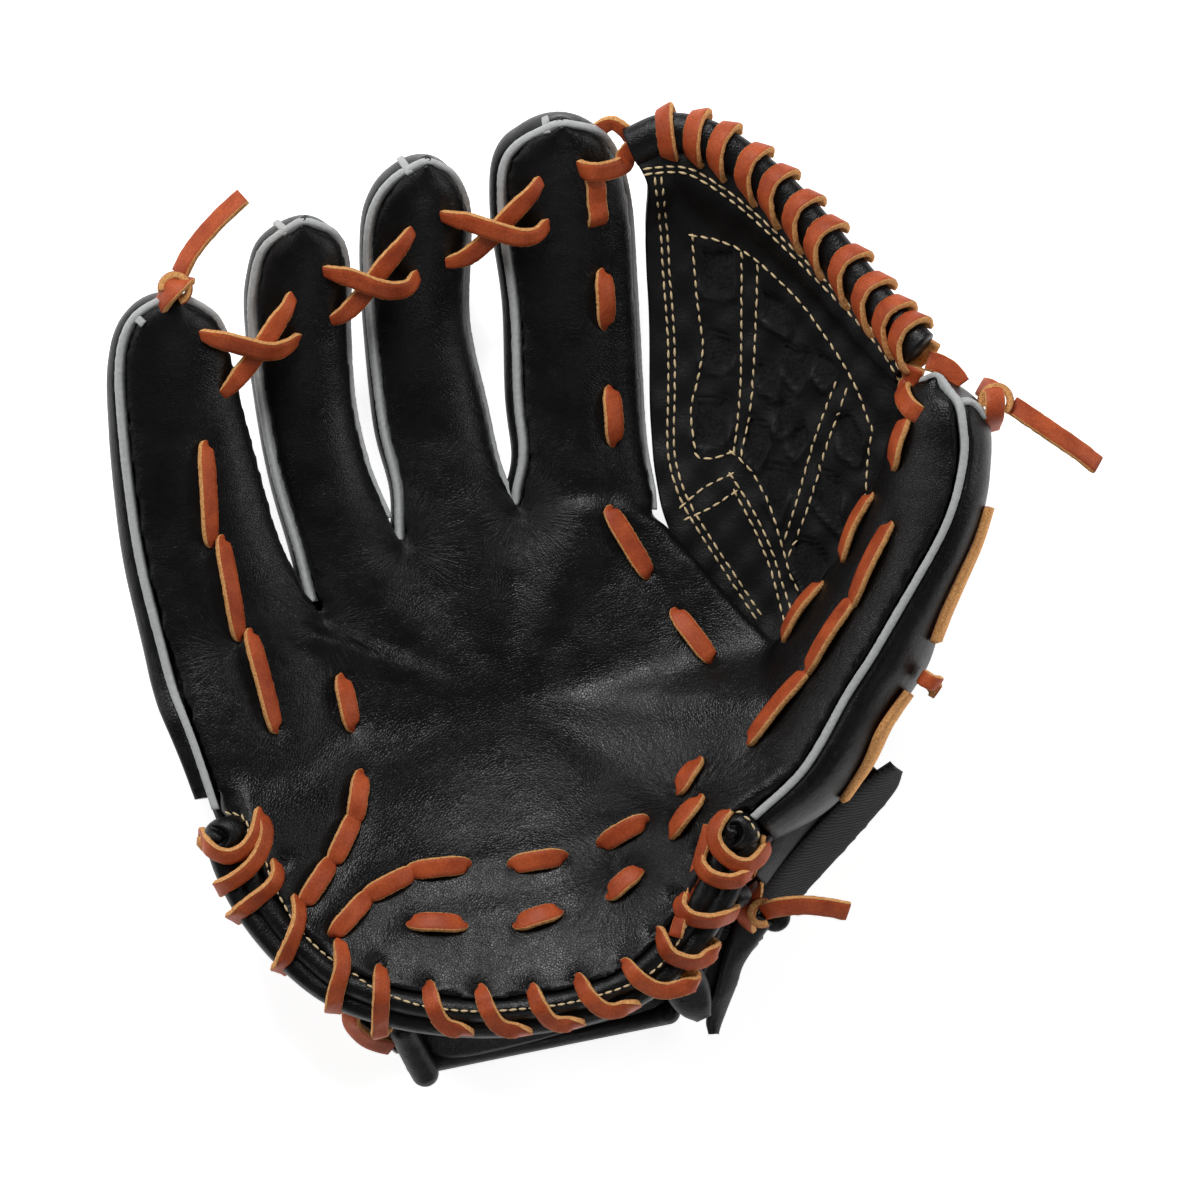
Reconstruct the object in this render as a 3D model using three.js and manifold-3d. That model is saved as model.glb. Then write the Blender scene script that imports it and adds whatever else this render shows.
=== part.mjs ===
// Pitcher glove lying on its back, palm up: +Y to the fingertips, +X to the thumb, +Z out of the pocket.
import * as THREE from "three";
import { mergeVertices } from "three/addons/utils/BufferGeometryUtils.js";
import Module from "manifold-3d";

const wasm = await Module();
wasm.setup();

// Driving dimensions, in millimetres and degrees.
const GLOVE_WIDTH = 282;
const GLOVE_LENGTH = 291;
const GLOVE_DEPTH = 95;
const PALM_PAD = 6.5;
const SEAM_EDGE = 3;
const BACK_WALL = 2.5;
const FINGER_CROWN = 11;
const FINGER_BACK_DEPTH = 14;
const THUMB_BACK_DEPTH = 26;
const SEAM_ANGLE = 40;
const WELT_WIDTH = 2.2;
const WELT_HEIGHT = 3.2;
const WELT_PROUD = 0.9;
const WELT_SLACK = 0.75;
const LACE_WIDTH = 6.35;
const LACE_THICKNESS = 2.2;
const LACE_CROWN = 0.6;
const LACE_SLACK = 0.8;
const LACE_SPAN = 10;
const CROSS_STEPS = 6;
const CROSS_RISE = 9.4;
const HOLE_SLACK = 1.2;
const HOLE_SIDE_SLACK = 0.95;
const HOLE_REACH = 3;
const SHARED_SLOT = 8;
const WEB_WALL = 3;
const WEB_BINDING_WIDTH = 13;
const WEB_BINDING_THICKNESS = 9;
const HEEL_ROLL = 7.5;
const HEEL_ROLL_SPACING = 6.6;
const HAND_BACK_WALL = 3;
const TAB_THICKNESS = 4;
const STRAP_THICKNESS = 3;
const STRAP_SLACK = 0.9;
const BACK_ROLL = 8;
const CLEARANCE = 0.35;

// Seams of the stalls, root to tip: left and right seam as shares of width, length and depth.
// full is the share of the crown and back depth that the section has there, and deep that of the
// back depth alone. wrap is the share of the way round that the leather back covers, where it is
// open towards the hand.
const PINKY = [
  { lu: 0.132, lv: 0.24, lw: 0.49, ru: 0.27, rv: 0.3, rw: 0.33, full: 0.45, wrap: 0.4 },
  { lu: 0.1, lv: 0.335, lw: 0.48, ru: 0.265, rv: 0.385, rw: 0.3, full: 0.55, wrap: 0.5 },
  { lu: 0.076, lv: 0.401, lw: 0.46, ru: 0.248, rv: 0.443, rw: 0.31, full: 0.75 },
  { lu: 0.051, lv: 0.497, lw: 0.48, ru: 0.203, rv: 0.531, rw: 0.34, full: 0.95 },
  { lu: 0.037, lv: 0.577, lw: 0.5, ru: 0.18, rv: 0.604, rw: 0.37, full: 1 },
  { lu: 0.027, lv: 0.665, lw: 0.54, ru: 0.159, rv: 0.681, rw: 0.42, full: 1 },
  { lu: 0.024, lv: 0.736, lw: 0.59, ru: 0.144, rv: 0.742, rw: 0.49, full: 0.92 },
  { lu: 0.037, lv: 0.775, lw: 0.63, ru: 0.126, rv: 0.782, rw: 0.57, full: 0.72 },
  { lu: 0.071, lv: 0.799, lw: 0.65, ru: 0.096, rv: 0.801, rw: 0.64, full: 0.3 },
];
const RING = [
  { lu: 0.257, lv: 0.393, lw: 0.3, ru: 0.354, rv: 0.473, rw: 0.22, full: 0.5 },
  { lu: 0.248, lv: 0.443, lw: 0.31, ru: 0.341, rv: 0.53, rw: 0.25, full: 0.75 },
  { lu: 0.227, lv: 0.522, lw: 0.32, ru: 0.321, rv: 0.569, rw: 0.24, full: 0.9 },
  { lu: 0.202, lv: 0.599, lw: 0.33, ru: 0.298, rv: 0.621, rw: 0.25, full: 1 },
  { lu: 0.185, lv: 0.681, lw: 0.36, ru: 0.282, rv: 0.69, rw: 0.28, full: 1 },
  { lu: 0.173, lv: 0.775, lw: 0.44, ru: 0.277, rv: 0.769, rw: 0.36, full: 1 },
  { lu: 0.176, lv: 0.824, lw: 0.5, ru: 0.277, rv: 0.824, rw: 0.43, full: 0.92 },
  { lu: 0.189, lv: 0.862, lw: 0.55, ru: 0.269, rv: 0.862, rw: 0.5, full: 0.72 },
  { lu: 0.219, lv: 0.881, lw: 0.58, ru: 0.237, rv: 0.882, rw: 0.57, full: 0.3 },
];
const MIDDLE = [
  { lu: 0.354, lv: 0.473, lw: 0.23, ru: 0.478, rv: 0.5, rw: 0.2, full: 0.55 },
  { lu: 0.341, lv: 0.53, lw: 0.25, ru: 0.471, rv: 0.568, rw: 0.22, full: 0.8 },
  { lu: 0.338, lv: 0.593, lw: 0.25, ru: 0.446, rv: 0.626, rw: 0.19, full: 1 },
  { lu: 0.321, lv: 0.665, lw: 0.27, ru: 0.432, rv: 0.687, rw: 0.19, full: 1 },
  { lu: 0.308, lv: 0.769, lw: 0.34, ru: 0.412, rv: 0.775, rw: 0.26, full: 1 },
  { lu: 0.304, lv: 0.857, lw: 0.44, ru: 0.413, rv: 0.855, rw: 0.37, full: 1 },
  { lu: 0.311, lv: 0.899, lw: 0.5, ru: 0.413, rv: 0.903, rw: 0.44, full: 0.92 },
  { lu: 0.331, lv: 0.927, lw: 0.55, ru: 0.401, rv: 0.934, rw: 0.51, full: 0.72 },
  { lu: 0.357, lv: 0.946, lw: 0.58, ru: 0.38, rv: 0.948, rw: 0.57, full: 0.3 },
];
const INDEX = [
  { lu: 0.478, lv: 0.5, lw: 0.2, ru: 0.609, rv: 0.516, rw: 0.21, full: 0.55 },
  { lu: 0.471, lv: 0.568, lw: 0.22, ru: 0.625, rv: 0.582, rw: 0.21, full: 0.8 },
  { lu: 0.481, lv: 0.632, lw: 0.26, ru: 0.615, rv: 0.637, rw: 0.18, full: 1 },
  { lu: 0.475, lv: 0.698, lw: 0.29, ru: 0.61, rv: 0.698, rw: 0.19, full: 1 },
  { lu: 0.471, lv: 0.797, lw: 0.36, ru: 0.604, rv: 0.802, rw: 0.27, full: 1 },
  { lu: 0.458, lv: 0.89, lw: 0.46, ru: 0.598, rv: 0.896, rw: 0.37, full: 1 },
  { lu: 0.456, lv: 0.943, lw: 0.53, ru: 0.586, rv: 0.943, rw: 0.44, full: 0.92 },
  { lu: 0.473, lv: 0.974, lw: 0.58, ru: 0.569, rv: 0.973, rw: 0.52, full: 0.72 },
  { lu: 0.505, lv: 0.988, lw: 0.61, ru: 0.535, rv: 0.989, rw: 0.6, full: 0.3 },
];
const THUMB = [
  { lu: 0.665, lv: 0.285, lw: 0.36, ru: 0.735, rv: 0.24, rw: 0.635, full: 0.6, deep: 0.75, wrap: 0.5 },
  { lu: 0.712, lv: 0.346, lw: 0.29, ru: 0.79, rv: 0.291, rw: 0.68, full: 0.8, deep: 1, wrap: 0.6 },
  { lu: 0.76, lv: 0.411, lw: 0.3, ru: 0.838, rv: 0.369, rw: 0.73, full: 0.95, deep: 0.95 },
  { lu: 0.804, lv: 0.465, lw: 0.38, ru: 0.881, rv: 0.437, rw: 0.79, full: 1, deep: 1 },
  { lu: 0.841, lv: 0.516, lw: 0.46, ru: 0.922, rv: 0.511, rw: 0.84, full: 1, deep: 0.7 },
  { lu: 0.87, lv: 0.577, lw: 0.54, ru: 0.955, rv: 0.577, rw: 0.87, full: 1, deep: 0.64 },
  { lu: 0.89, lv: 0.632, lw: 0.6, ru: 0.969, rv: 0.637, rw: 0.88, full: 0.95, deep: 0.6 },
  { lu: 0.904, lv: 0.676, lw: 0.66, ru: 0.966, rv: 0.676, rw: 0.88, full: 0.85, deep: 0.6 },
  { lu: 0.917, lv: 0.701, lw: 0.71, ru: 0.958, rv: 0.698, rw: 0.85, full: 0.6, deep: 0.46 },
  { lu: 0.933, lv: 0.711, lw: 0.77, ru: 0.947, rv: 0.711, rw: 0.81, full: 0.3, deep: 0.25 },
];

// Deepest point of the palm dish, and how sharply the dish rises to its rim.
const PALM_CENTRE = { u: 0.46, v: 0.36, w: 0.3 };
const PALM_DISH_POWER = 1.8;
// Rim of the palm dish apart from the heel: down the pinky side, then up the thumb side and back along
// the roots of the stalls. The heel lies between its third and fourth rows.
const PALM_RIM = [
  { u: 0.11, v: 0.44, w: 0.44 },
  { u: 0.125, v: 0.37, w: 0.44 },
  { u: 0.15, v: 0.3, w: 0.46 },
  { u: 0.775, v: 0.29, w: 0.66 },
  { u: 0.8, v: 0.36, w: 0.6 },
  { u: 0.765, v: 0.42, w: 0.36 },
  { u: 0.725, v: 0.46, w: 0.3 },
  { u: 0.67, v: 0.52, w: 0.28 },
  { u: 0.622, v: 0.565, w: 0.27 },
  { u: 0.55, v: 0.58, w: 0.3 },
  { u: 0.473, v: 0.565, w: 0.25 },
  { u: 0.41, v: 0.56, w: 0.3 },
  { u: 0.342, v: 0.53, w: 0.27 },
  { u: 0.295, v: 0.49, w: 0.33 },
  { u: 0.25, v: 0.445, w: 0.33 },
  { u: 0.16, v: 0.46, w: 0.45 },
];
const PALM_SIDE_ROWS = 3;

// Shares of the way from the dish's centre to its rim.
const PALM_RINGS = [0.4, 0.75, 1];

// Back of the hand, finger roots to wrist: edges by the pinky and the thumb, and the floor between them.
const HAND_BACK = [
  { lv: 0.5, rv: 0.5, lu: 0.07, lw: 0.42, ru: 0.66, rw: 0.1, floor: 0.05 },
  { lv: 0.42, rv: 0.42, lu: 0.074, lw: 0.41, ru: 0.74, rw: 0.12, floor: 0.05 },
  { lv: 0.33, rv: 0.33, lu: 0.09, lw: 0.41, ru: 0.83, rw: 0.5, floor: 0.05 },
  { lv: 0.25, rv: 0.25, lu: 0.12, lw: 0.41, ru: 0.79, rw: 0.54, floor: 0.05 },
  { lv: 0.17, rv: 0.17, lu: 0.155, lw: 0.38, ru: 0.73, rw: 0.42, floor: 0.05 },
  { lv: 0.09, rv: 0.1, lu: 0.215, lw: 0.28, ru: 0.7, rw: 0.3, floor: 0.05 },
  { lv: 0.02, rv: 0.05, lu: 0.27, lw: 0.2, ru: 0.68, rw: 0.22, floor: 0.05 },
  { lv: -0.03, rv: 0.015, lu: 0.33, lw: 0.13, ru: 0.66, rw: 0.16, floor: 0.055 },
];

// How the trough of the back bends: steps across it, roundness of its sides and flatness of its floor.
const HAND_BACK_STEPS = 12;
const TROUGH_ROUNDNESS = 0.75;
const TROUGH_POWER = 3;

// Steps of the trough that the wrist strap and the rolled edge cover, and the rows under the strap.
const STRAP_FROM = 2;
const STRAP_TO = 11;
const STRAP_ROWS = 4;
const BACK_ROLL_FROM = 1;
const BACK_ROLL_TO = 11;

// Width of one step of the trough under the strap.
const STRAP_STEP = 10;

// Middle line of the double roll along the heel, from its pinky end to its thumb end.
const HEEL = [
  { u: 0.139, v: 0.214, w: 0.5 },
  { u: 0.151, v: 0.178, w: 0.5 },
  { u: 0.173, v: 0.137, w: 0.5 },
  { u: 0.212, v: 0.09, w: 0.51 },
  { u: 0.263, v: 0.049, w: 0.52 },
  { u: 0.325, v: 0.026, w: 0.53 },
  { u: 0.382, v: 0.016, w: 0.54 },
  { u: 0.439, v: 0.013, w: 0.54 },
  { u: 0.495, v: 0.018, w: 0.54 },
  { u: 0.558, v: 0.031, w: 0.55 },
  { u: 0.609, v: 0.053, w: 0.56 },
  { u: 0.654, v: 0.093, w: 0.57 },
  { u: 0.686, v: 0.137, w: 0.58 },
  { u: 0.709, v: 0.181, w: 0.6 },
  { u: 0.722, v: 0.218, w: 0.62 },
];

// Turns of the heel's lace, how far its holes are from the roll, and how far it goes past the leather.
const HEEL_WRAPS = 14;
const HEEL_HOLE = 3;
const HEEL_LACE_BELOW = 4.35;
const HEEL_LACE_ABOVE = 2.9;
const HEEL_TIP = THREE.MathUtils.degToRad(38);

// Middle line of the rolled leather along the top of the web, from the index tip to the thumb tip.
const WEB_TOP = [
  { u: 0.598, v: 0.969, w: 0.55 },
  { u: 0.641, v: 0.985, w: 0.57 },
  { u: 0.69, v: 0.975, w: 0.59 },
  { u: 0.745, v: 0.938, w: 0.6 },
  { u: 0.794, v: 0.892, w: 0.62 },
  { u: 0.841, v: 0.838, w: 0.65 },
  { u: 0.887, v: 0.785, w: 0.7 },
  { u: 0.924, v: 0.747, w: 0.75 },
];

// Lace wound round it: turns, sides of a turn, room between it and the web, and the share of the line
// that it starts at and covers.
const WEB_TOP_WRAPS = 12;
const WEB_TOP_SIDES = 5;
const WEB_TOP_ROOM = 2.3;
const WEB_TOP_LACE_FROM = 0.03;
const WEB_TOP_LACE_SPAN = 0.94;

// A turn of the heel's lace: shares of the roll's half width and height, and how far along to the
// next hole.
const HEEL_ROUND = [
  { x: 0.4, y: 1.4, go: 0.1 },
  { x: -0.6, y: 1.2, go: 0.22 },
  { x: -1.2, y: 0.3, go: 0.35 },
  { x: -0.8, y: -1.15, go: 0.7 },
  { x: 0.4, y: -1.5, go: 0.95 },
];

// Web, from its lower corner up: left and right edges, and how much of the top's arc a row has.
const WEB = [
  { lu: 0.705, lv: 0.429, lw: 0.21, ru: 0.779, rv: 0.398, rw: 0.255, bulge: 0 },
  { lu: 0.666, lv: 0.5, lw: 0.185, ru: 0.83, rv: 0.473, rw: 0.3, bulge: 0.05 },
  { lu: 0.634, lv: 0.577, lw: 0.185, ru: 0.867, rv: 0.555, rw: 0.42, bulge: 0.2 },
  { lu: 0.622, lv: 0.67, lw: 0.2, ru: 0.895, rv: 0.637, rw: 0.53, bulge: 0.4 },
  { lu: 0.62, lv: 0.78, lw: 0.27, ru: 0.917, rv: 0.687, rw: 0.62, bulge: 0.65 },
  { lu: 0.615, lv: 0.874, lw: 0.37, ru: 0.929, rv: 0.711, rw: 0.68, bulge: 0.85 },
];

// Point that the web's top faces, how far the web sags, and its steps across.
const WEB_MIDDLE = { u: 0.74, v: 0.7, w: 0.38 };
const WEB_SAG = 4;
const WEB_STEPS = 8;

// Ribbed tab of the strap by the thumb, from its root to its tip.
const TAB = [
  { lu: 0.69, lv: 0.1, lw: 0.28, ru: 0.7, rv: 0.07, rw: 0.08 },
  { lu: 0.736, lv: 0.137, lw: 0.3, ru: 0.762, rv: 0.119, rw: 0.06 },
  { lu: 0.79, lv: 0.198, lw: 0.36, ru: 0.807, rv: 0.165, rw: 0.1 },
  { lu: 0.841, lv: 0.249, lw: 0.4, ru: 0.858, rv: 0.22, rw: 0.16 },
  { lu: 0.879, lv: 0.28, lw: 0.42, ru: 0.896, rv: 0.264, rw: 0.22 },
  { lu: 0.896, lv: 0.291, lw: 0.42, ru: 0.904, rv: 0.286, rw: 0.3 },
];

// Stitches of each lace, each from one hole to the next, as shares of width and length.
const INDEX_WEB_ROW = [
  { u0: 0.568, v0: 0.831, u1: 0.569, v1: 0.778 },
  { u0: 0.576, v0: 0.703, u1: 0.578, v1: 0.648 },
  { u0: 0.577, v0: 0.567, u1: 0.616, v1: 0.505 },
  { u0: 0.653, v0: 0.456, u1: 0.687, v1: 0.41 },
];
const PINKY_ROW = [
  { u0: 0.113, v0: 0.641, u1: 0.126, v1: 0.553 },
  { u0: 0.132, v0: 0.534, u1: 0.152, v1: 0.449 },
  { u0: 0.163, v0: 0.427, u1: 0.198, v1: 0.334 },
];
const PALM_STITCH = [
  { u0: 0.27, v0: 0.385, u1: 0.281, v1: 0.334 },
];
const PINKY_HEEL_ROW = [
  { u0: 0.293, v0: 0.278, u1: 0.286, v1: 0.241 },
  { u0: 0.28, v0: 0.221, u1: 0.264, v1: 0.192 },
  { u0: 0.257, v0: 0.179, u1: 0.238, v1: 0.152 },
];
const HEEL_UPPER_ROW = [
  { u0: 0.265, v0: 0.109, u1: 0.29, v1: 0.136 },
  { u0: 0.305, v0: 0.149, u1: 0.34, v1: 0.168 },
  { u0: 0.357, v0: 0.175, u1: 0.41, v1: 0.18 },
  { u0: 0.466, v0: 0.18, u1: 0.52, v1: 0.189 },
  { u0: 0.568, v0: 0.203, u1: 0.613, v1: 0.23 },
];
const HEEL_LOWER_ROW = [
  { u0: 0.351, v0: 0.116, u1: 0.406, v1: 0.118 },
  { u0: 0.472, v0: 0.116, u1: 0.515, v1: 0.13 },
  { u0: 0.577, v0: 0.148, u1: 0.607, v1: 0.175 },
];
const THUMB_LOWER_ROW = [
  { u0: 0.675, v0: 0.293, u1: 0.654, v1: 0.265 },
  { u0: 0.676, v0: 0.252, u1: 0.646, v1: 0.216 },
];
const THUMB_ROW = [
  { u0: 0.885, v0: 0.547, u1: 0.853, v1: 0.47 },
  { u0: 0.841, v0: 0.451, u1: 0.799, v1: 0.398 },
  { u0: 0.787, v0: 0.378, u1: 0.739, v1: 0.322 },
];
const WEB_THUMB_ROW = [
  { u0: 0.902, v0: 0.659, u1: 0.89, v1: 0.619 },
  { u0: 0.87, v0: 0.584, u1: 0.84, v1: 0.52 },
  { u0: 0.813, v0: 0.487, u1: 0.774, v1: 0.432 },
];

// Crosses between the fingertips: a lace over and a lace under it.
const FINGERTIP_CROSSES = [
  {
    name: "pinky_ring",
    over: { u0: 0.118, v0: 0.753, u1: 0.219, v1: 0.751 },
    under: { u0: 0.143, v0: 0.703, u1: 0.212, v1: 0.803 },
  },
  {
    name: "ring_middle",
    over: { u0: 0.257, v0: 0.83, u1: 0.354, v1: 0.819 },
    under: { u0: 0.264, v0: 0.786, u1: 0.346, v1: 0.875 },
  },
  {
    name: "middle_index",
    over: { u0: 0.39, v0: 0.888, u1: 0.501, v1: 0.873 },
    under: { u0: 0.397, v0: 0.846, u1: 0.493, v1: 0.925 },
  },
];

// Knots, and the free lace ends that leave them.
const TAIL_PINKY = [
  { u: 0.116, v: 0.865, w: 0.66 },
  { u: 0.144, v: 0.896, w: 0.67 },
  { u: 0.169, v: 0.919, w: 0.67 },
];
const TAIL_THUMB = [
  { u: 1.057, v: 0.662, w: 0.77 },
  { u: 1.091, v: 0.637, w: 0.74 },
  { u: 1.126, v: 0.615, w: 0.7 },
];
const TAIL_HEEL = [
  { u: 0.785, v: 0.138, w: 0.5 },
  { u: 0.815, v: 0.137, w: 0.49 },
  { u: 0.846, v: 0.131, w: 0.47 },
];
const THUMB_LACE = [
  { row: 5, angle: -30 },
  { row: 4, angle: -30 },
];
const THUMB_LACE_LOW = [
  { row: 2, angle: -25 },
  { row: 1, angle: -35 },
];
const WRIST_LOOP = [
  { u: 0.284, v: 0.024, w: 0.335 },
  { u: 0.28, v: 0.004, w: 0.295 },
  { u: 0.297, v: -0.015, w: 0.245 },
  { u: 0.325, v: -0.022, w: 0.19 },
];
const KNOTS = [
  { name: "pinky_knot", u: 0.078, v: 0.8295, w: 0.65 },
  { name: "heel_knot", u: 0.733, v: 0.134, w: 0.4 },
];
const THUMB_KNOTS = [
  { name: "thumb_knot", row: 8, angle: -25 },
  { name: "thumb_lace_knot", row: 3, angle: -30 },
];

// Diameter of a knot, its height as a share of that, and its sides and rings.
const KNOT_SIZE = 10;
const KNOT_HEIGHT = 0.8;
const KNOT_SIDES = 8;
const KNOT_RINGS = 6;

// Sides of a round section, and steps across the tab.
const ROUND_SIDES = 8;
const TAB_STEPS = 3;

// Limits: the thinnest half width left in a tip, the thickest pad there for each share of fullness, the
// narrowest square of a section's run, and the sharpest corner that a strap's mitre follows.
const THINNEST = 0.4;
const TIP_PAD = 9;
const NARROWEST = 1;
const SHARPEST = 0.7;

// Height that lines are cast down from, as a share of depth, how far inside the leather its other side
// is looked for, and the flattest slope that lifts a lace.
const CAST_HEIGHT = 2;
const CAST_INSIDE = 0.5;
const SLOPE_LIMIT = 0.4;

// Share of a line over which its direction is measured, and the last share that lies on it.
const LINE_STEP = 0.01;
const LINE_END = 0.9999;

// Turns a row's shares into a point of the glove.
function place(u, v, w) {
  return new THREE.Vector3(u * GLOVE_WIDTH, v * GLOVE_LENGTH, w * GLOVE_DEPTH);
}

// A solid from a closed geometry, and a geometry from a solid.
function toSolid(geometry) {
  const bare = geometry.index ? geometry.toNonIndexed() : geometry.clone();
  bare.deleteAttribute("normal");
  bare.deleteAttribute("uv");
  const merged = mergeVertices(bare, 1e-4);
  const mesh = new wasm.Mesh({
    numProp: 3,
    vertProperties: merged.attributes.position.array,
    triVerts: new Uint32Array(merged.index.array),
  });
  const solid = new wasm.Manifold(mesh);
  return solid.volume() < 0 ? toSolid(turned(merged)) : solid;
}

function turned(geometry) {
  const index = Array.from(geometry.index.array);
  for (let i = 0; i < index.length; i += 3) {
    [index[i + 1], index[i + 2]] = [index[i + 2], index[i + 1]];
  }
  return geometry.clone().setIndex(index);
}

function toGeometry(solid) {
  const mesh = solid.getMesh();
  const geometry = new THREE.BufferGeometry();
  geometry.setAttribute("position", new THREE.Float32BufferAttribute(mesh.vertProperties, 3));
  geometry.setIndex(Array.from(mesh.triVerts));
  geometry.computeVertexNormals();
  return geometry;
}

// The body of a solid with the largest volume, without the slivers that a cut leaves.
function largest(solid) {
  return solid.decompose().reduce((best, body) => (body.volume() > best.volume() ? body : best));
}

function geometryOf(points, faces) {
  const geometry = new THREE.BufferGeometry();
  const flat = points.flatMap((p) => [p.x, p.y, p.z]);
  geometry.setAttribute("position", new THREE.Float32BufferAttribute(flat, 3));
  geometry.setIndex(faces.flat());
  return geometry;
}

// Closed body through rings of equal counts, each a convex outline, with fans over both ends.
function ringLoft(rings) {
  const count = rings[0].length;
  const points = rings.flat();
  const faces = [];
  for (let r = 0; r + 1 < rings.length; r++) {
    for (let k = 0; k < count; k++) {
      const a = r * count + k;
      const b = r * count + ((k + 1) % count);
      faces.push([a, b, b + count], [a, b + count, a + count]);
    }
  }
  const last = (rings.length - 1) * count;
  for (let k = 1; k + 1 < count; k++) {
    faces.push([0, k + 1, k], [last, last + k, last + k + 1]);
  }
  return toSolid(geometryOf(points, faces));
}

// Closed wall through open sections, each an outer and an inner line of equal counts.
function wallLoft(sections) {
  const rings = sections.map(({ outer, inner }) => [...outer, ...inner.slice().reverse()]);
  const count = rings[0].length;
  const half = count / 2;
  const points = rings.flat();
  const faces = [];
  for (let r = 0; r + 1 < rings.length; r++) {
    for (let k = 0; k < count; k++) {
      const a = r * count + k;
      const b = r * count + ((k + 1) % count);
      faces.push([a, b, b + count], [a, b + count, a + count]);
    }
  }
  const last = (rings.length - 1) * count;
  for (let k = 0; k + 1 < half; k++) {
    const m = count - 1 - k;
    faces.push([k, m, m - 1], [k, m - 1, k + 1]);
    faces.push([last + k, last + m - 1, last + m], [last + k, last + k + 1, last + m - 1]);
  }
  return toSolid(geometryOf(points, faces));
}

// Strap of rectangular section along a path. across is the direction of its width at each point.
function strap(path, width, thickness) {
  const rings = path.map(({ p, across }, i) => {
    const back = i > 0 ? p.clone().sub(path[i - 1].p).normalize() : null;
    const ahead = i + 1 < path.length ? path[i + 1].p.clone().sub(p).normalize() : null;
    const along = (back ?? ahead).clone().add(ahead ?? back).normalize();
    const mitre = back && ahead ? 1 / Math.max(SHARPEST, along.dot(back)) : 1;
    const w = across.clone().addScaledVector(along, -across.dot(along)).normalize();
    const t = along.clone().cross(w).multiplyScalar((thickness / 2) * mitre);
    w.multiplyScalar(width / 2);
    return [
      p.clone().add(w).add(t),
      p.clone().sub(w).add(t),
      p.clone().sub(w).sub(t),
      p.clone().add(w).sub(t),
    ];
  });
  return ringLoft(rings);
}

// The oval section of a stall at one row of its table.
function stallSection({ rows, mirrored, backDepth }, i) {
  const row = rows[i];
  const left = place(row.lu, row.lv, row.lw);
  const right = place(row.ru, row.rv, row.rw);
  const mid = (r) => place((r.lu + r.ru) / 2, (r.lv + r.rv) / 2, (r.lw + r.rw) / 2);
  const axis = mid(rows[Math.min(i + 1, rows.length - 1)]).sub(mid(rows[Math.max(i - 1, 0)]));
  axis.normalize();
  const from = THREE.MathUtils.degToRad(mirrored ? SEAM_ANGLE : 0);
  const to = THREE.MathUtils.degToRad(mirrored ? 180 : 180 - SEAM_ANGLE);
  const crown = FINGER_CROWN * row.full;
  const chord = right.clone().sub(left);
  chord.addScaledVector(axis, -chord.dot(axis));
  const span = chord.length();
  const h = chord.normalize();
  const k = h.clone().cross(axis).normalize();
  if (k.z < 0) k.negate();
  const rise = crown * (Math.sin(from) - Math.sin(to));
  const run = Math.sqrt(Math.max(span * span - rise * rise, NARROWEST));
  const half = run / (Math.cos(from) - Math.cos(to));
  const e1 = h.clone().multiplyScalar(run / span).addScaledVector(k, -rise / span);
  const e2 = h.clone().multiplyScalar(rise / span).addScaledVector(k, run / span);
  const centre = left.clone().add(right).multiplyScalar(0.5);
  const middleAcross = (half * (Math.cos(from) + Math.cos(to))) / 2;
  const middleUp = (crown * (Math.sin(from) + Math.sin(to))) / 2;
  centre.addScaledVector(e1, -middleAcross).addScaledVector(e2, -middleUp);
  const depth = backDepth * (row.deep ?? row.full);
  const at = (angle, inset) => {
    const upper = Math.sin(angle) >= 0;
    const p = centre.clone().addScaledVector(e1, Math.max(half - inset, THINNEST) * Math.cos(angle));
    const reach = Math.max((upper ? crown : depth) - inset, THINNEST);
    return p.addScaledVector(e2, reach * Math.sin(angle));
  };
  const turn = (angle, arc) => {
    const round = Math.sin(angle) > 0.1 ? crown : depth;
    return arc / Math.hypot(half * Math.sin(angle), round * Math.cos(angle));
  };
  return { at, turn, from, to, axis, e2, centre };
}

const steps = (from, to, count) =>
  Array.from({ length: count + 1 }, (_, j) => from + ((to - from) * j) / count);

const FINGER_STALLS = [
  {
    name: "pinky",
    rows: PINKY,
    mirrored: false,
    backDepth: FINGER_BACK_DEPTH,
    weltLeft: 0,
    weltRight: 6,
  },
  {
    name: "ring",
    rows: RING,
    mirrored: false,
    backDepth: FINGER_BACK_DEPTH,
    weltLeft: 2,
    weltRight: 2,
  },
  {
    name: "middle",
    rows: MIDDLE,
    mirrored: false,
    backDepth: FINGER_BACK_DEPTH,
    weltLeft: 2,
    weltRight: 2,
  },
  {
    name: "index",
    rows: INDEX,
    mirrored: false,
    backDepth: FINGER_BACK_DEPTH,
    weltLeft: 2,
    weltRight: 2,
  },
  {
    name: "thumb",
    rows: THUMB,
    mirrored: true,
    backDepth: THUMB_BACK_DEPTH,
    weltLeft: 7,
    weltRight: 0,
  },
];
const FRONT_STEPS = 4;
const BACK_STEPS = 6;

// Padded front of a stall, thinner towards its two seams.
function stallFront(stall, grow) {
  const sections = stall.rows.map((row, i) => {
    const s = stallSection(stall, i);
    const angles = steps(s.from, s.to, FRONT_STEPS);
    const outer = angles.map((angle) => s.at(angle, -grow));
    const inner = angles.map((angle, j) => {
      const middle = Math.sin((Math.PI * j) / FRONT_STEPS);
      const thick = SEAM_EDGE + (PALM_PAD - SEAM_EDGE) * middle;
      return s.at(angle, Math.min(thick, TIP_PAD * row.full) + grow);
    });
    return { outer, inner };
  });
  return wallLoft(sections);
}

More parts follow.
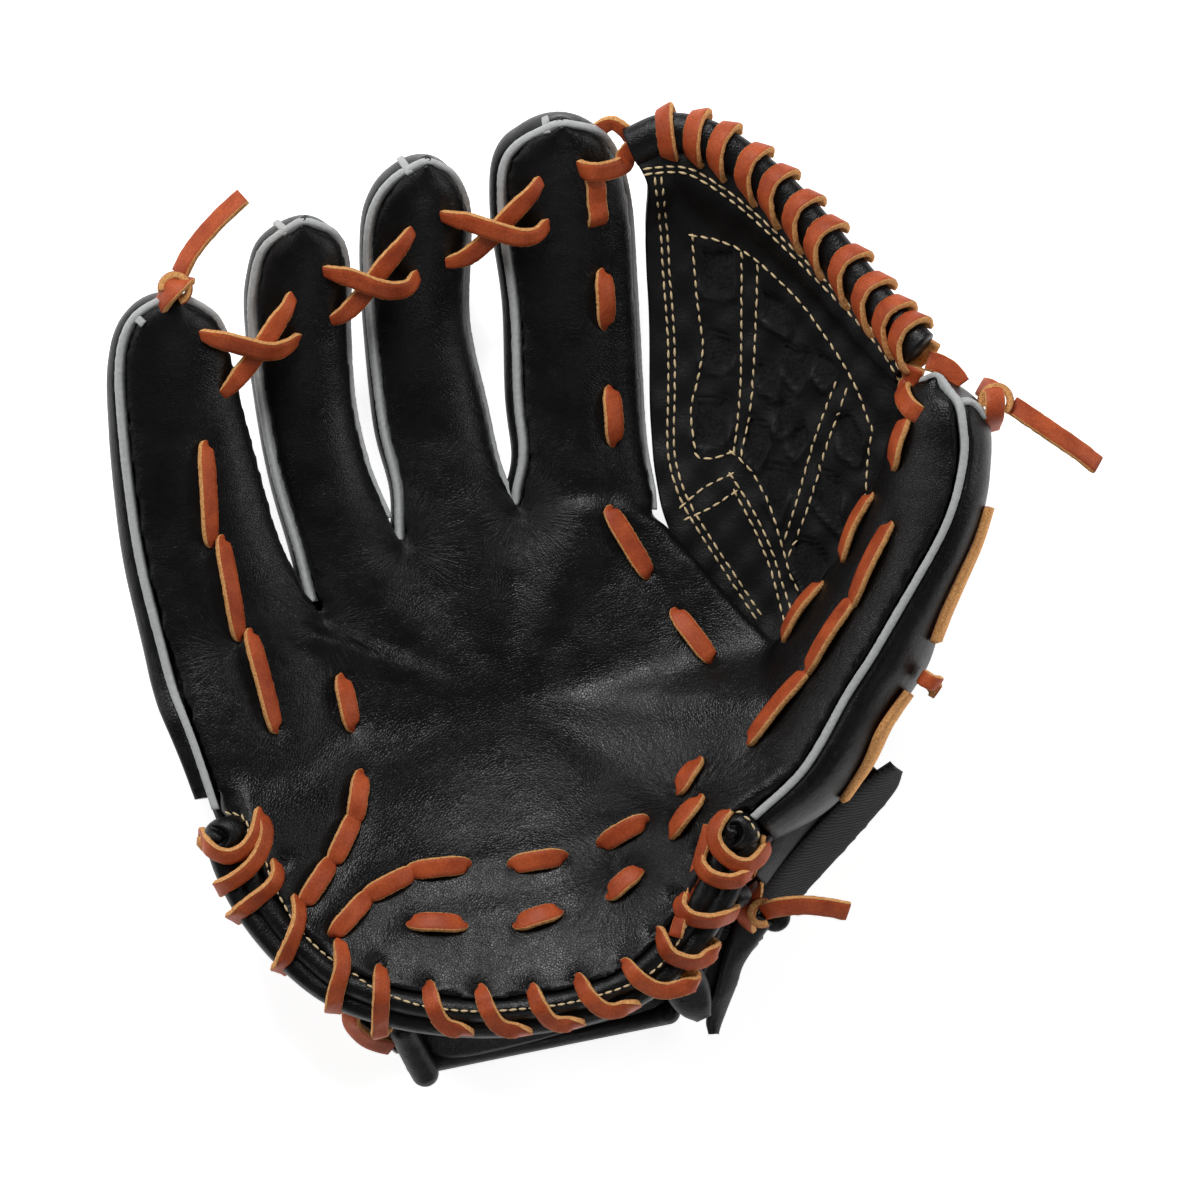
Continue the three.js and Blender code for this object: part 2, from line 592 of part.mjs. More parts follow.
// Leather back of a stall: the rest of the oval, from one seam round towards the other.
function stallBack(stall) {
  const sections = stall.rows.map((row, i) => {
    const s = stallSection(stall, i);
    const room = WELT_WIDTH + 2 * WELT_SLACK;
    let start = s.to + s.turn(s.to, room);
    let end = s.from + 2 * Math.PI - s.turn(s.from, room);
    const wrap = row.wrap ?? 1;
    if (stall.mirrored) start = end - (end - start) * wrap;
    else end = start + (end - start) * wrap;
    const angles = steps(start, end, BACK_STEPS);
    return {
      outer: angles.map((angle) => s.at(angle, 0)),
      inner: angles.map((angle) => s.at(angle, BACK_WALL)),
    };
  });
  return wallLoft(sections);
}

// The whole oval of a stall, without its hollow.
function stallWhole(stall, grow) {
  const rings = stall.rows.map((row, i) => {
    const s = stallSection(stall, i);
    const front = steps(s.from, s.to, FRONT_STEPS);
    const back = steps(s.to, s.from + 2 * Math.PI, BACK_STEPS).slice(1, -1);
    return [...front, ...back].map((angle) => s.at(angle, -grow));
  });
  return ringLoft(rings);
}

// Welt of a stall: up one seam, over the tip and down the other, between the rows its stall names.
function stallWelt(stall, grow) {
  const depth = WELT_HEIGHT - WELT_PROUD + grow;
  const proud = -WELT_PROUD - grow;
  const on = (i, side) => {
    const s = stallSection(stall, i);
    const seam = side === "left" ? s.to : s.from;
    const way = side === "left" ? 1 : -1;
    const near = seam + way * s.turn(seam, WELT_SLACK - grow);
    const far = seam + way * s.turn(seam, WELT_SLACK + WELT_WIDTH + grow);
    return [s.at(near, proud), s.at(far, proud), s.at(far, depth), s.at(near, depth)];
  };
  const top = stall.rows.length - 1;
  const left = steps(stall.weltLeft, top, top - stall.weltLeft).map((i) => on(i, "left"));
  const right = steps(top, stall.weltRight, top - stall.weltRight).map((i) => on(i, "right"));
  const last = stallSection(stall, top);
  const seams = last.at(last.to, 0).add(last.at(last.from, 0)).multiplyScalar(0.5);
  const tip = [
    [1, WELT_HEIGHT + grow],
    [-1, WELT_HEIGHT + grow],
    [-1, -grow],
    [1, -grow],
  ].map(([side, height]) =>
    seams
      .clone()
      .addScaledVector(last.e2, side * (WELT_WIDTH / 2 + grow))
      .addScaledVector(last.axis, WELT_SLACK + height),
  );
  return ringLoft([...left, tip, ...right]);
}

// Direction along a line of points at one of them.
function alongLine(line, i) {
  const ahead = line[Math.min(i + 1, line.length - 1)];
  return ahead.clone().sub(line[Math.max(i - 1, 0)]).normalize();
}

const heelLine = HEEL.map((row) => place(row.u, row.v, row.w));
const heelMiddle = place(PALM_CENTRE.u, PALM_CENTRE.v, 0);

// Across the double roll: level at its two ends, tipped outwards and down at the bottom of the heel.
function heelAcross(i) {
  const along = alongLine(heelLine, i);
  const share = i / (heelLine.length - 1);
  const tip = HEEL_TIP * Math.sin(Math.PI * share);
  const inward = new THREE.Vector3(-along.y, along.x, 0).normalize();
  return inward.multiplyScalar(Math.cos(tip)).setZ(Math.sin(tip)).normalize();
}

// Rim of the palm: the two sides from their table, and the heel along the inner edge of the roll.
function palmRim(grow) {
  const rows = PALM_RIM.map((row) => place(row.u, row.v, row.w));
  const heel = heelLine.map((p, i) => {
    const toRoll = heelAcross(i).multiplyScalar(HEEL_ROLL_SPACING / 2);
    const level = toRoll.clone().setZ(0).setLength(HEEL_ROLL / 2 + 2 * CLEARANCE);
    return p.clone().add(toRoll).add(level).add(new THREE.Vector3(0, 0, PALM_PAD / 2));
  });
  const rim = [...rows.slice(0, PALM_SIDE_ROWS), ...heel, ...rows.slice(PALM_SIDE_ROWS)];
  return rim.map((p) => {
    const outward = p.clone().sub(heelMiddle).setZ(0).setLength(1);
    return p.addScaledVector(outward, grow);
  });
}

// Palm dish: spokes from its centre to its rim, deeper towards the centre.
function palmDish(grow) {
  const centre = place(PALM_CENTRE.u, PALM_CENTRE.v, PALM_CENTRE.w);
  const rim = palmRim(grow);
  const count = rim.length;
  const front = [];
  for (const share of PALM_RINGS) {
    for (const edge of rim) {
      const p = centre.clone().lerp(edge, share);
      p.z = centre.z + (edge.z - centre.z) * share ** PALM_DISH_POWER;
      front.push(p);
    }
  }
  const lift = (p, by) => p.clone().setZ(p.z + by);
  const points = [
    lift(centre, grow),
    ...front.map((p) => lift(p, grow)),
    lift(centre, -PALM_PAD - grow),
    ...front.map((p) => lift(p, -PALM_PAD - grow)),
  ];
  const under = 1 + front.length;
  const faces = [];
  const last = PALM_RINGS.length - 1;
  for (let k = 0; k < count; k++) {
    const n = (k + 1) % count;
    faces.push([0, 1 + k, 1 + n], [under, under + 1 + n, under + 1 + k]);
    for (let r = 0; r < last; r++) {
      const a = 1 + r * count + k;
      const b = 1 + r * count + n;
      faces.push([a, a + count, b + count], [a, b + count, b]);
      faces.push([under + a, under + b + count, under + a + count]);
      faces.push([under + a, under + b, under + b + count]);
    }
    const a = 1 + last * count + k;
    const b = 1 + last * count + n;
    faces.push([a, under + a, under + b], [a, under + b, b]);
  }
  return toSolid(geometryOf(points, faces));
}

function palmShell(grow) {
  return FINGER_STALLS.reduce((sum, stall) => sum.add(stallFront(stall, grow)), palmDish(grow));
}

// Section of the trough round the back of the hand, moved inwards by inset.
function troughSection(row, inset, first = 0, last = HAND_BACK_STEPS) {
  const outer = steps(first, last, Math.round(last - first)).map((step) => {
    const share = step / HAND_BACK_STEPS;
    const turn = Math.cos(Math.PI * share);
    const across = 0.5 - 0.5 * Math.sign(turn) * Math.abs(turn) ** TROUGH_ROUNDNESS;
    const edge = share < 0.5 ? row.lw : row.rw;
    const w = row.floor + (edge - row.floor) * Math.abs(turn) ** TROUGH_POWER;
    return place(row.lu + (row.ru - row.lu) * across, row.lv + (row.rv - row.lv) * across, w);
  });
  return outer.map((p, j) => {
    const tangent = alongLine(outer, j);
    const inward = new THREE.Vector3(-tangent.z, 0, tangent.x).setLength(1);
    return p.clone().addScaledVector(inward, inset);
  });
}

function handBack(grow) {
  const sections = HAND_BACK.map((row) => ({
    outer: troughSection(row, -grow),
    inner: troughSection(row, HAND_BACK_WALL + grow),
  }));
  return wallLoft(sections);
}

// Wrist strap: outside the back of the hand, over the rows nearest the wrist.
function wristStrap(grow) {
  const rows = HAND_BACK.slice(-STRAP_ROWS);
  const to = STRAP_TO + grow / STRAP_STEP;
  const sections = rows.map((row) => ({
    outer: troughSection(row, -STRAP_SLACK - STRAP_THICKNESS - grow, STRAP_FROM, to),
    inner: troughSection(row, -STRAP_SLACK + grow, STRAP_FROM, to),
  }));
  return wallLoft(sections);
}

// Rolled edge of the wrist opening, just past the end of the back of the hand.
function backRoll() {
  const row = HAND_BACK[HAND_BACK.length - 1];
  const line = troughSection(row, HAND_BACK_WALL / 2, BACK_ROLL_FROM, BACK_ROLL_TO);
  line.forEach((p) => p.setY(p.y - BACK_ROLL / 2 - CLEARANCE));
  return tube(line, new THREE.Vector3(0, 1, 0), ovalSection(BACK_ROLL, BACK_ROLL, ROUND_SIDES));
}

// Points round an oval, as shares along and across.
function ovalSection(width, height, count) {
  return steps(0, 2 * Math.PI, count)
    .slice(0, count)
    .map((a) => ({ x: (width / 2) * Math.cos(a), y: (height / 2) * Math.sin(a) }));
}

// Body along a line, its section's x towards across and its y square to that.
function tube(line, across, section) {
  const rings = line.map((p, i) => {
    const along = alongLine(line, i);
    const x = Array.isArray(across) ? across[i].clone() : across.clone();
    x.addScaledVector(along, -x.dot(along)).normalize();
    const y = along.clone().cross(x);
    return section.map((q) => p.clone().addScaledVector(x, q.x).addScaledVector(y, q.y));
  });
  return ringLoft(rings);
}

// Double roll of the heel: two rolls side by side with a groove between them.
function heelBinding() {
  const r = HEEL_ROLL / 2;
  const c = HEEL_ROLL_SPACING / 2;
  const half = [
    { x: -c - r, y: r / 4 },
    { x: -c, y: r },
    { x: 0, y: r / 2 },
    { x: c, y: r },
    { x: c + r, y: r / 4 },
  ];
  const sections = heelLine.map((p, i) => {
    const x = heelAcross(i);
    const y = alongLine(heelLine, i).cross(x).normalize();
    const line = (way) =>
      half.map((q) => p.clone().addScaledVector(x, q.x).addScaledVector(y, way * q.y));
    return { outer: line(1), inner: line(-1) };
  });
  return wallLoft(sections);
}

const webTopLine = WEB_TOP.map((row) => place(row.u, row.v, row.w));
const webMiddle = place(WEB_MIDDLE.u, WEB_MIDDLE.v, WEB_MIDDLE.w);

function webTopInward(i) {
  const along = alongLine(webTopLine, i);
  const inward = webMiddle.clone().sub(webTopLine[i]);
  return inward.addScaledVector(along, -inward.dot(along)).normalize();
}

function webBinding() {
  const inward = webTopLine.map((p, i) => webTopInward(i));
  return tube(webTopLine, inward, ovalSection(WEB_BINDING_WIDTH, WEB_BINDING_THICKNESS, ROUND_SIDES));
}

// Point of a line of points at a share of its length in steps.
function onLine(line, share) {
  const at = THREE.MathUtils.clamp(share, 0, LINE_END) * (line.length - 1);
  const i = Math.floor(at);
  return line[i].clone().lerp(line[i + 1], at - i);
}

// Web: rows of points between its two edges, bowed like the top and sagging in the middle.
function webPanel() {
  const turn = WEB_BINDING_WIDTH / 2 + LACE_THICKNESS / 2 + 2 * CLEARANCE;
  const reach = turn / Math.cos(Math.PI / WEB_TOP_SIDES) + LACE_THICKNESS / 2 + WEB_TOP_ROOM;
  const top = webTopLine.map((p, i) => p.clone().addScaledVector(webTopInward(i), reach));
  const topLeft = top[0];
  const topRight = top[top.length - 1];
  const shares = steps(0, 1, WEB_STEPS);
  const bow = (share) => onLine(top, share).sub(topLeft.clone().lerp(topRight, share));
  const rows = WEB.map((row) => {
    const left = place(row.lu, row.lv, row.lw);
    const right = place(row.ru, row.rv, row.rw);
    return shares.map((share) => {
      const p = left.clone().lerp(right, share).addScaledVector(bow(share), row.bulge);
      p.z -= WEB_SAG * 4 * share * (1 - share) * (1 - row.bulge);
      return p;
    });
  });
  rows.push(shares.map((share) => onLine(top, share)));
  return sheet(rows, WEB_WALL);
}

// Wall of even thickness through rows of points.
function sheet(rows, thickness) {
  const sections = rows.map((row, r) => {
    const offset = (by) =>
      row.map((p, k) => {
        const across = alongLine(row, k);
        const up = rows[Math.min(r + 1, rows.length - 1)][k]
          .clone()
          .sub(rows[Math.max(r - 1, 0)][k]);
        return p.clone().addScaledVector(across.cross(up).normalize(), by);
      });
    return { outer: offset(thickness / 2), inner: offset(-thickness / 2) };
  });
  return wallLoft(sections);
}

function strapTab() {
  const rows = TAB.map((row) => {
    const left = place(row.lu, row.lv, row.lw);
    const right = place(row.ru, row.rv, row.rw);
    return steps(0, 1, TAB_STEPS).map((share) => left.clone().lerp(right, share));
  });
  return sheet(rows, TAB_THICKNESS);
}

// Casts down onto leather: the point, the face normal and the thickness of the wall there.
const caster = new THREE.Raycaster();
function land(meshes, u, v) {
  caster.set(place(u, v, CAST_HEIGHT), new THREE.Vector3(0, 0, -1));
  const hit = caster.intersectObjects(meshes, false)[0];
  if (!hit) return null;
  const normal = hit.face.normal.clone();
  const inside = hit.point.clone().addScaledVector(normal, -CAST_INSIDE);
  caster.set(inside, normal.clone().negate());
  const exits = caster.intersectObject(hit.object, false).map((exit) => exit.distance + CAST_INSIDE);
  const thickness = Math.max(PALM_PAD / 2, ...exits.filter((depth) => depth < 2 * PALM_PAD));
  return { point: hit.point, normal, thickness };
}

// Frame of a rolled edge at a share of its line: inward across it and up square to that.
function edgeFrame(line, inwards, share) {
  const centre = onLine(line, share);
  const inward = onLine(inwards, share).normalize();
  const along = onLine(line, share + LINE_STEP).sub(onLine(line, share - LINE_STEP)).normalize();
  return { centre, inward, along, up: along.clone().cross(inward).normalize() };
}

function inFrame({ centre, inward, up }, x, y) {
  return centre.clone().addScaledVector(inward, x).addScaledVector(up, y);
}

// Lace of the heel: each turn comes up through a hole in the palm beside the double roll, passes
// over the roll and goes back under it to the next hole.
function heelLace(meshes) {
  const inwards = heelLine.map((p, i) => heelAcross(i));
  const lift = LACE_THICKNESS / 2 + CLEARANCE;
  const half = (HEEL_ROLL + HEEL_ROLL_SPACING) / 2;
  const path = [];
  const holes = [];
  for (let n = 0; n < HEEL_WRAPS; n++) {
    const frame = (go) => edgeFrame(heelLine, inwards, (n + 0.5 + go) / HEEL_WRAPS);
    const { centre, inward, along } = frame(0);
    const level = inward.clone().setZ(0).normalize();
    const at = centre.clone().addScaledVector(level, half + HEEL_HOLE);
    const hit = land(meshes, at.x / GLOVE_WIDTH, at.y / GLOVE_LENGTH);
    [-hit.thickness - HEEL_LACE_BELOW, HEEL_LACE_ABOVE].forEach((by) => {
      path.push({ p: hit.point.clone().addScaledVector(hit.normal, by), across: along });
    });
    holes.push(holeRoom(hit, along));
    if (n === HEEL_WRAPS - 1) break;
    HEEL_ROUND.forEach(({ x, y, go }) => {
      const f = frame(go);
      path.push({ p: inFrame(f, (half + lift) * x, (HEEL_ROLL / 2 + lift) * y), across: f.along });
    });
  }
  return { path, holes };
}

// Lace wound round the rolled top of the web.
function webTopLace() {
  const inwards = webTopLine.map((p, i) => webTopInward(i));
  const lift = LACE_THICKNESS / 2 + 2 * CLEARANCE;
  const spread = 1 / Math.cos(Math.PI / WEB_TOP_SIDES);
  const count = WEB_TOP_WRAPS * WEB_TOP_SIDES;
  const path = steps(0, count, count).map((n) => {
    const f = edgeFrame(webTopLine, inwards, WEB_TOP_LACE_FROM + (WEB_TOP_LACE_SPAN * n) / count);
    const angle = (2 * Math.PI * n) / WEB_TOP_SIDES;
    const x = (WEB_BINDING_WIDTH / 2 + lift) * Math.cos(angle) * spread;
    const y = (WEB_BINDING_THICKNESS / 2 + lift) * Math.sin(angle) * spread;
    return { p: inFrame(f, x, y), across: f.along };
  });
  return { path, holes: [] };
}

// Room for a lace through the leather at a point where it is pierced, or between two such points.
function holeRoom(first, across, second = first) {
  const path = [1, -1].map((way) => {
    const reach = ({ point, normal, thickness }) =>
      point.clone().addScaledVector(normal, way > 0 ? HOLE_REACH : -thickness - HOLE_REACH);
    return { p: reach(first).lerp(reach(second), 0.5), across };
  });
  const apart = first.point.distanceTo(second.point);
  return strap(path, LACE_WIDTH + 2 * HOLE_SIDE_SLACK, LACE_THICKNESS + 2 * HOLE_SLACK + apart);
}

// Lace that goes in and out along its stitches, lying on the leather between a pair of holes.
function runningLace(meshes, stitches) {
  const lift = LACE_THICKNESS / 2 + LACE_SLACK;
  const path = [];
  const holes = [];
  const add = ({ point, normal }, height, across) => {
    path.push({ p: point.clone().addScaledVector(normal, height), across });
  };
  const ends = stitches.map(({ u0, v0, u1, v1 }) => [land(meshes, u0, v0), land(meshes, u1, v1)]);
  ends.forEach(([a, b], i) => {
    const direction = b.point.clone().sub(a.point).normalize();
    const across = a.normal.clone().add(b.normal).cross(direction).normalize();
    add(a, -a.thickness - lift, across);
    add(a, lift, across);
    const spans = Math.round(a.point.distanceTo(b.point) / LACE_SPAN) + 1;
    for (let n = 1; n < spans; n++) {
      const middle = a.point.clone().lerp(b.point, n / spans);
      const under = land(meshes, middle.x / GLOVE_WIDTH, middle.y / GLOVE_LENGTH);
      if (under) add(under, lift + LACE_CROWN, across);
    }
    add(b, lift, across);
    add(b, -b.thickness - lift, across);
    const next = ends[i + 1]?.[0];
    if (next) {
      const gap = Math.round(b.point.distanceTo(next.point) / LACE_SPAN);
      for (let n = 1; n < gap; n++) {
        const middle = b.point.clone().lerp(next.point, n / gap);
        const over = land(meshes, middle.x / GLOVE_WIDTH, middle.y / GLOVE_LENGTH);
        if (over) add(over, -over.thickness - lift - LACE_CROWN, across);
      }
    }
    const shared = next && next.point.distanceTo(b.point) < SHARED_SLOT;
    const before = ends[i - 1]?.[1];
    if (!before || before.point.distanceTo(a.point) >= SHARED_SLOT) holes.push(holeRoom(a, across));
    holes.push(shared ? holeRoom(b, across, next) : holeRoom(b, across));
  });
  return { path, holes };
}

// Lace laid from one hole to another over two stalls, extra above them at its middle.
function crossLace(meshes, { u0, v0, u1, v1 }, extra) {
  const lift = LACE_THICKNESS / 2 + LACE_SLACK;
  const a = land(meshes, u0, v0);
  const b = land(meshes, u1, v1);
  const direction = b.point.clone().sub(a.point).normalize();
  const across = new THREE.Vector3(0, 0, 1).cross(direction).normalize();
  const on = ({ point, normal }, by) => ({
    p: point.clone().addScaledVector(normal, by),
    across,
  });
  const path = [on(a, -a.thickness - lift), on(a, lift)];
  for (let n = 1; n < CROSS_STEPS; n++) {
    const share = n / CROSS_STEPS;
    const p = a.point.clone().lerp(b.point, share);
    const hit = land(meshes, p.x / GLOVE_WIDTH, p.y / GLOVE_LENGTH);
    const floor = hit ? hit.point.z + lift / Math.max(hit.normal.z, SLOPE_LIMIT) : -Infinity;
    p.z = Math.max(p.z + lift, floor) + extra * Math.sin(Math.PI * share);
    path.push({ p, across });
  }
  path.push(on(b, lift), on(b, -b.thickness - lift));
  return { path, holes: [holeRoom(a, across), holeRoom(b, across)] };
}

// Points of a table and the way that they face: at their shares of the glove, or on the thumb's back
// and as far off it as given.
function tablePoints(rows, off) {
  const thumb = FINGER_STALLS.find((stall) => stall.name === "thumb");
  const upwards = new THREE.Vector3(0, 0, 1);
  return rows.map((row) => {
    if (row.row === undefined) return { p: place(row.u, row.v, row.w), facing: upwards };
    const section = stallSection(thumb, row.row);
    const p = section.at(THREE.MathUtils.degToRad(row.angle), -off);
    return { p, facing: p.clone().sub(section.centre).normalize() };
  });
}

// Free lace along a line. It starts or ends just clear of a knot where it has one.
function freeLace(line, { from, to }) {
  const beside = (knot, next) => {
    const away = next.p.clone().sub(knot.p).setLength(KNOT_SIZE / 2 + CLEARANCE);
    return { p: knot.p.clone().add(away), facing: next.facing };
  };
  const start = from ? [beside(from, line[0])] : [];
  const end = to ? [beside(to, line[line.length - 1])] : [];
  const rows = [...start, ...line, ...end];
  const points = rows.map((row) => row.p);
  const path = rows.map(({ p, facing }, i) => {
    return { p, across: facing.clone().cross(alongLine(points, i)).normalize() };
  });
  return { path, holes: [] };
}

function knot(at) {
  const geometry = new THREE.SphereGeometry(KNOT_SIZE / 2, KNOT_SIDES, KNOT_RINGS);
  geometry.scale(1, 1, KNOT_HEIGHT).translate(at.x, at.y, at.z);
  return toSolid(geometry);
}

const LEATHER = { color: 0x111112, roughness: 0.5, metalness: 0 };
const WELT = { color: 0xa9adae, roughness: 0.8, metalness: 0 };
const LACE = { color: 0xa04a2c, roughness: 0.6, metalness: 0 };
const TEXTILE = { color: 0x0c0c0d, roughness: 0.95, metalness: 0 };

const glove = new THREE.Group();
const pieces = [];

function addPiece(name, solid, look) {
  pieces.push({ name, solid, look });
}

const palm = palmShell(0);
const palmRoom = palmShell(CLEARANCE);
addPiece("palm_shell", palm, LEATHER);

const wholes = FINGER_STALLS.map((stall) => stallWhole(stall, 4 * CLEARANCE));
const thumbWhole = wholes[FINGER_STALLS.findIndex((stall) => stall.name === "thumb")];
FINGER_STALLS.forEach((stall, i) => {
  const others = wholes.slice(0, i).reduce((sum, whole) => sum.add(whole), palmRoom);
  const welt = stallWelt(stall, CLEARANCE);
  addPiece(stall.name + "_back", stallBack(stall).subtract(others).subtract(welt), LEATHER);
});
const stallRoom = wholes.reduce((sum, whole) => sum.add(whole), palmRoom);
const handRoom = handBack(2 * CLEARANCE);
addPiece("hand_back", handBack(0).subtract(stallRoom), LEATHER);
addPiece("wrist_strap", wristStrap(0), TEXTILE);
const tabRoom = handRoom.add(wristStrap(CLEARANCE)).add(thumbWhole);
addPiece("strap_tab", strapTab().subtract(tabRoom), TEXTILE);
addPiece("back_roll", backRoll(), LEATHER);
addPiece("heel_binding", heelBinding(), LEATHER);
addPiece("web_panel", webPanel().subtract(stallRoom).subtract(handRoom), LEATHER);
addPiece("web_binding", webBinding(), LEATHER);
FINGER_STALLS.forEach((stall) => {
  addPiece(stall.name + "_welt", stallWelt(stall, 0), WELT);
});

// Leather that a lace can be laid on.
const bothSides = new THREE.MeshBasicMaterial({ side: THREE.DoubleSide });
const leather = [palm, pieces.find((piece) => piece.name === "web_panel").solid].map(
  (solid) => new THREE.Mesh(toGeometry(solid), bothSides),
);

const laces = [];
function addLace(name, { path, holes }) {
  laces.push({ name, solid: strap(path, LACE_WIDTH, LACE_THICKNESS), holes });
}

addLace("heel_lace", heelLace(leather));
addLace("web_top_lace", webTopLace());
addLace("index_web_lace", runningLace(leather, INDEX_WEB_ROW));
addLace("pinky_lace", runningLace(leather, PINKY_ROW));
addLace("palm_stitch_lace", runningLace(leather, PALM_STITCH));
addLace("pinky_heel_lace", runningLace(leather, PINKY_HEEL_ROW));
addLace("heel_upper_lace", runningLace(leather, HEEL_UPPER_ROW));
addLace("heel_lower_lace", runningLace(leather, HEEL_LOWER_ROW));
addLace("thumb_lower_lace", runningLace(leather, THUMB_LOWER_ROW));
addLace("thumb_lace", runningLace(leather, THUMB_ROW));
addLace("web_thumb_lace", runningLace(leather, WEB_THUMB_ROW));
FINGERTIP_CROSSES.forEach(({ name, over, under }) => {
  addLace(name + "_lace_under", crossLace(leather, under, LACE_CROWN));
  addLace(name + "_lace_over", crossLace(leather, over, CROSS_RISE));
});
const knots = [
  ...tablePoints(KNOTS, 0),
  ...tablePoints(THUMB_KNOTS, KNOT_SIZE / 2 + CLEARANCE),
];
const [pinkyKnot, heelKnot, thumbKnot, thumbLaceKnot] = knots;
const onBack = LACE_THICKNESS / 2 + LACE_SLACK;
const upperLace = tablePoints(THUMB_LACE, onBack);
const lowerLace = tablePoints(THUMB_LACE_LOW, onBack);
addLace("pinky_knot_end", freeLace(tablePoints(TAIL_PINKY, 0), { from: pinkyKnot }));
addLace("heel_knot_end", freeLace(tablePoints(TAIL_HEEL, 0), { from: heelKnot }));
addLace("thumb_knot_end", freeLace(tablePoints(TAIL_THUMB, 0), { from: thumbKnot }));
addLace("thumb_back_lace", freeLace(upperLace, { to: thumbLaceKnot }));
addLace("thumb_back_lace_lower", freeLace(lowerLace, { from: thumbLaceKnot }));
addLace("wrist_loop_lace", freeLace(tablePoints(WRIST_LOOP, 0), {}));

[...KNOTS, ...THUMB_KNOTS].forEach((row, i) => {
  addPiece(row.name, knot(knots[i].p).subtract(stallRoom), LACE);
});

// The leather is pierced where a lace goes through it.
pieces.forEach((piece) => {
  laces.forEach((lace) => {
    lace.holes.forEach((hole) => {
      piece.solid = piece.solid.subtract(hole);
    });
  });
});
laces.forEach((lace) => addPiece(lace.name, lace.solid, LACE));

pieces.forEach(({ name, solid, look }) => {
  const mesh = new THREE.Mesh(toGeometry(largest(solid)), new THREE.MeshStandardMaterial(look));
  mesh.name = name;
  glove.add(mesh);
});

// The origin is under the middle of the glove, on the surface that it lies on.
const extent = new THREE.Box3().setFromObject(glove);
const middle = extent.getCenter(new THREE.Vector3());
glove.position.set(-middle.x, -middle.y, -extent.min.z);

export default glove;
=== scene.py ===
"""Pitcher glove lying palm up: padded leather, grey welts, rust laces and a stitched web."""

import math

import bpy
import numpy as np
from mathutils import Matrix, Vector
from mathutils.bvhtree import BVHTree


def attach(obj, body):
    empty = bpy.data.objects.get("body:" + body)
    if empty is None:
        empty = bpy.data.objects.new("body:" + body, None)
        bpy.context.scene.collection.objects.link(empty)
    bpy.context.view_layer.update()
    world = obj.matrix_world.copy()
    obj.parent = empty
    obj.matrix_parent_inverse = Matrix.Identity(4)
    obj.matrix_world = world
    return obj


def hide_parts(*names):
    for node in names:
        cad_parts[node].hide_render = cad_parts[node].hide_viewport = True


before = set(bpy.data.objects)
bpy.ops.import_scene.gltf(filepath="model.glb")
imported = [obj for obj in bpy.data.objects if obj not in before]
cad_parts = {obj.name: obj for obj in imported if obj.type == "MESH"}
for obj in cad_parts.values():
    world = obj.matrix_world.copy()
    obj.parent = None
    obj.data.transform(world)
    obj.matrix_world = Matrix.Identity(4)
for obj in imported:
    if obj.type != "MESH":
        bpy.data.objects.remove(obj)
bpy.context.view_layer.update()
rng = np.random.default_rng(7)

WIDTH, LENGTH, DEPTH = 0.282, 0.291, 0.095
SHIFT = np.array([-0.160726, -0.140153, -0.00085])
MM = 0.001

PAD = 6.5 * MM
EDGE = 3 * MM
BACK_WALL = 2.5 * MM
CROWN = 11 * MM
FINGER_DEPTH = 14 * MM
THUMB_DEPTH = 26 * MM
SEAM = math.radians(40)
WELT_WIDTH = 2.4 * MM
WELT_SLACK = 0.5 * MM
WELT_PROUD = 1.0 * MM
LACE_WIDTH = 6.35 * MM
LACE_THICK = 2.2 * MM
ROLL = 7.5 * MM
ROLL_SPACING = 6.6 * MM
BINDING_WIDTH = 13 * MM
BINDING_HEIGHT = 9 * MM
PALM_CENTRE = (0.46, 0.36, 0.3)


def table(columns, rows):
    """Rows of shares, as one array with a column for each name."""
    assert all(len(row) == len(columns.split()) for row in rows)
    return np.array(rows, float)


def place(u, v, w):
    """Shares of width, length and depth to points of the row frame."""
    u, v, w = np.broadcast_arrays(u, v, w)
    return np.stack([u * WIDTH, v * LENGTH, w * DEPTH], axis=-1) + SHIFT


def spot(x, y):
    """A place of the front view, in its own units, to x and y of the row frame."""
    x, y = np.asarray(x, float), np.asarray(y, float)
    return np.stack(
        [(x - 103) / 882 * WIDTH + SHIFT[0], (1030 - y) / 910 * LENGTH + SHIFT[1]],
        axis=-1,
    )


PINKY = table(
    "lu lv lw ru rv rw full deep wrap",
    [
        (0.132, 0.24, 0.49, 0.27, 0.3, 0.33, 0.45, 0.45, 0.4),
        (0.1, 0.335, 0.48, 0.265, 0.385, 0.3, 0.55, 0.55, 0.5),
        (0.076, 0.401, 0.46, 0.248, 0.443, 0.31, 0.75, 0.75, 1),
        (0.051, 0.497, 0.48, 0.203, 0.531, 0.34, 0.95, 0.95, 1),
        (0.037, 0.577, 0.5, 0.18, 0.604, 0.37, 1, 1, 1),
        (0.027, 0.665, 0.54, 0.159, 0.681, 0.42, 1, 1, 1),
        (0.024, 0.736, 0.59, 0.144, 0.742, 0.49, 0.92, 0.92, 1),
        (0.037, 0.775, 0.63, 0.126, 0.782, 0.57, 0.72, 0.72, 1),
        (0.071, 0.799, 0.65, 0.096, 0.801, 0.64, 0.3, 0.3, 1),
    ],
)
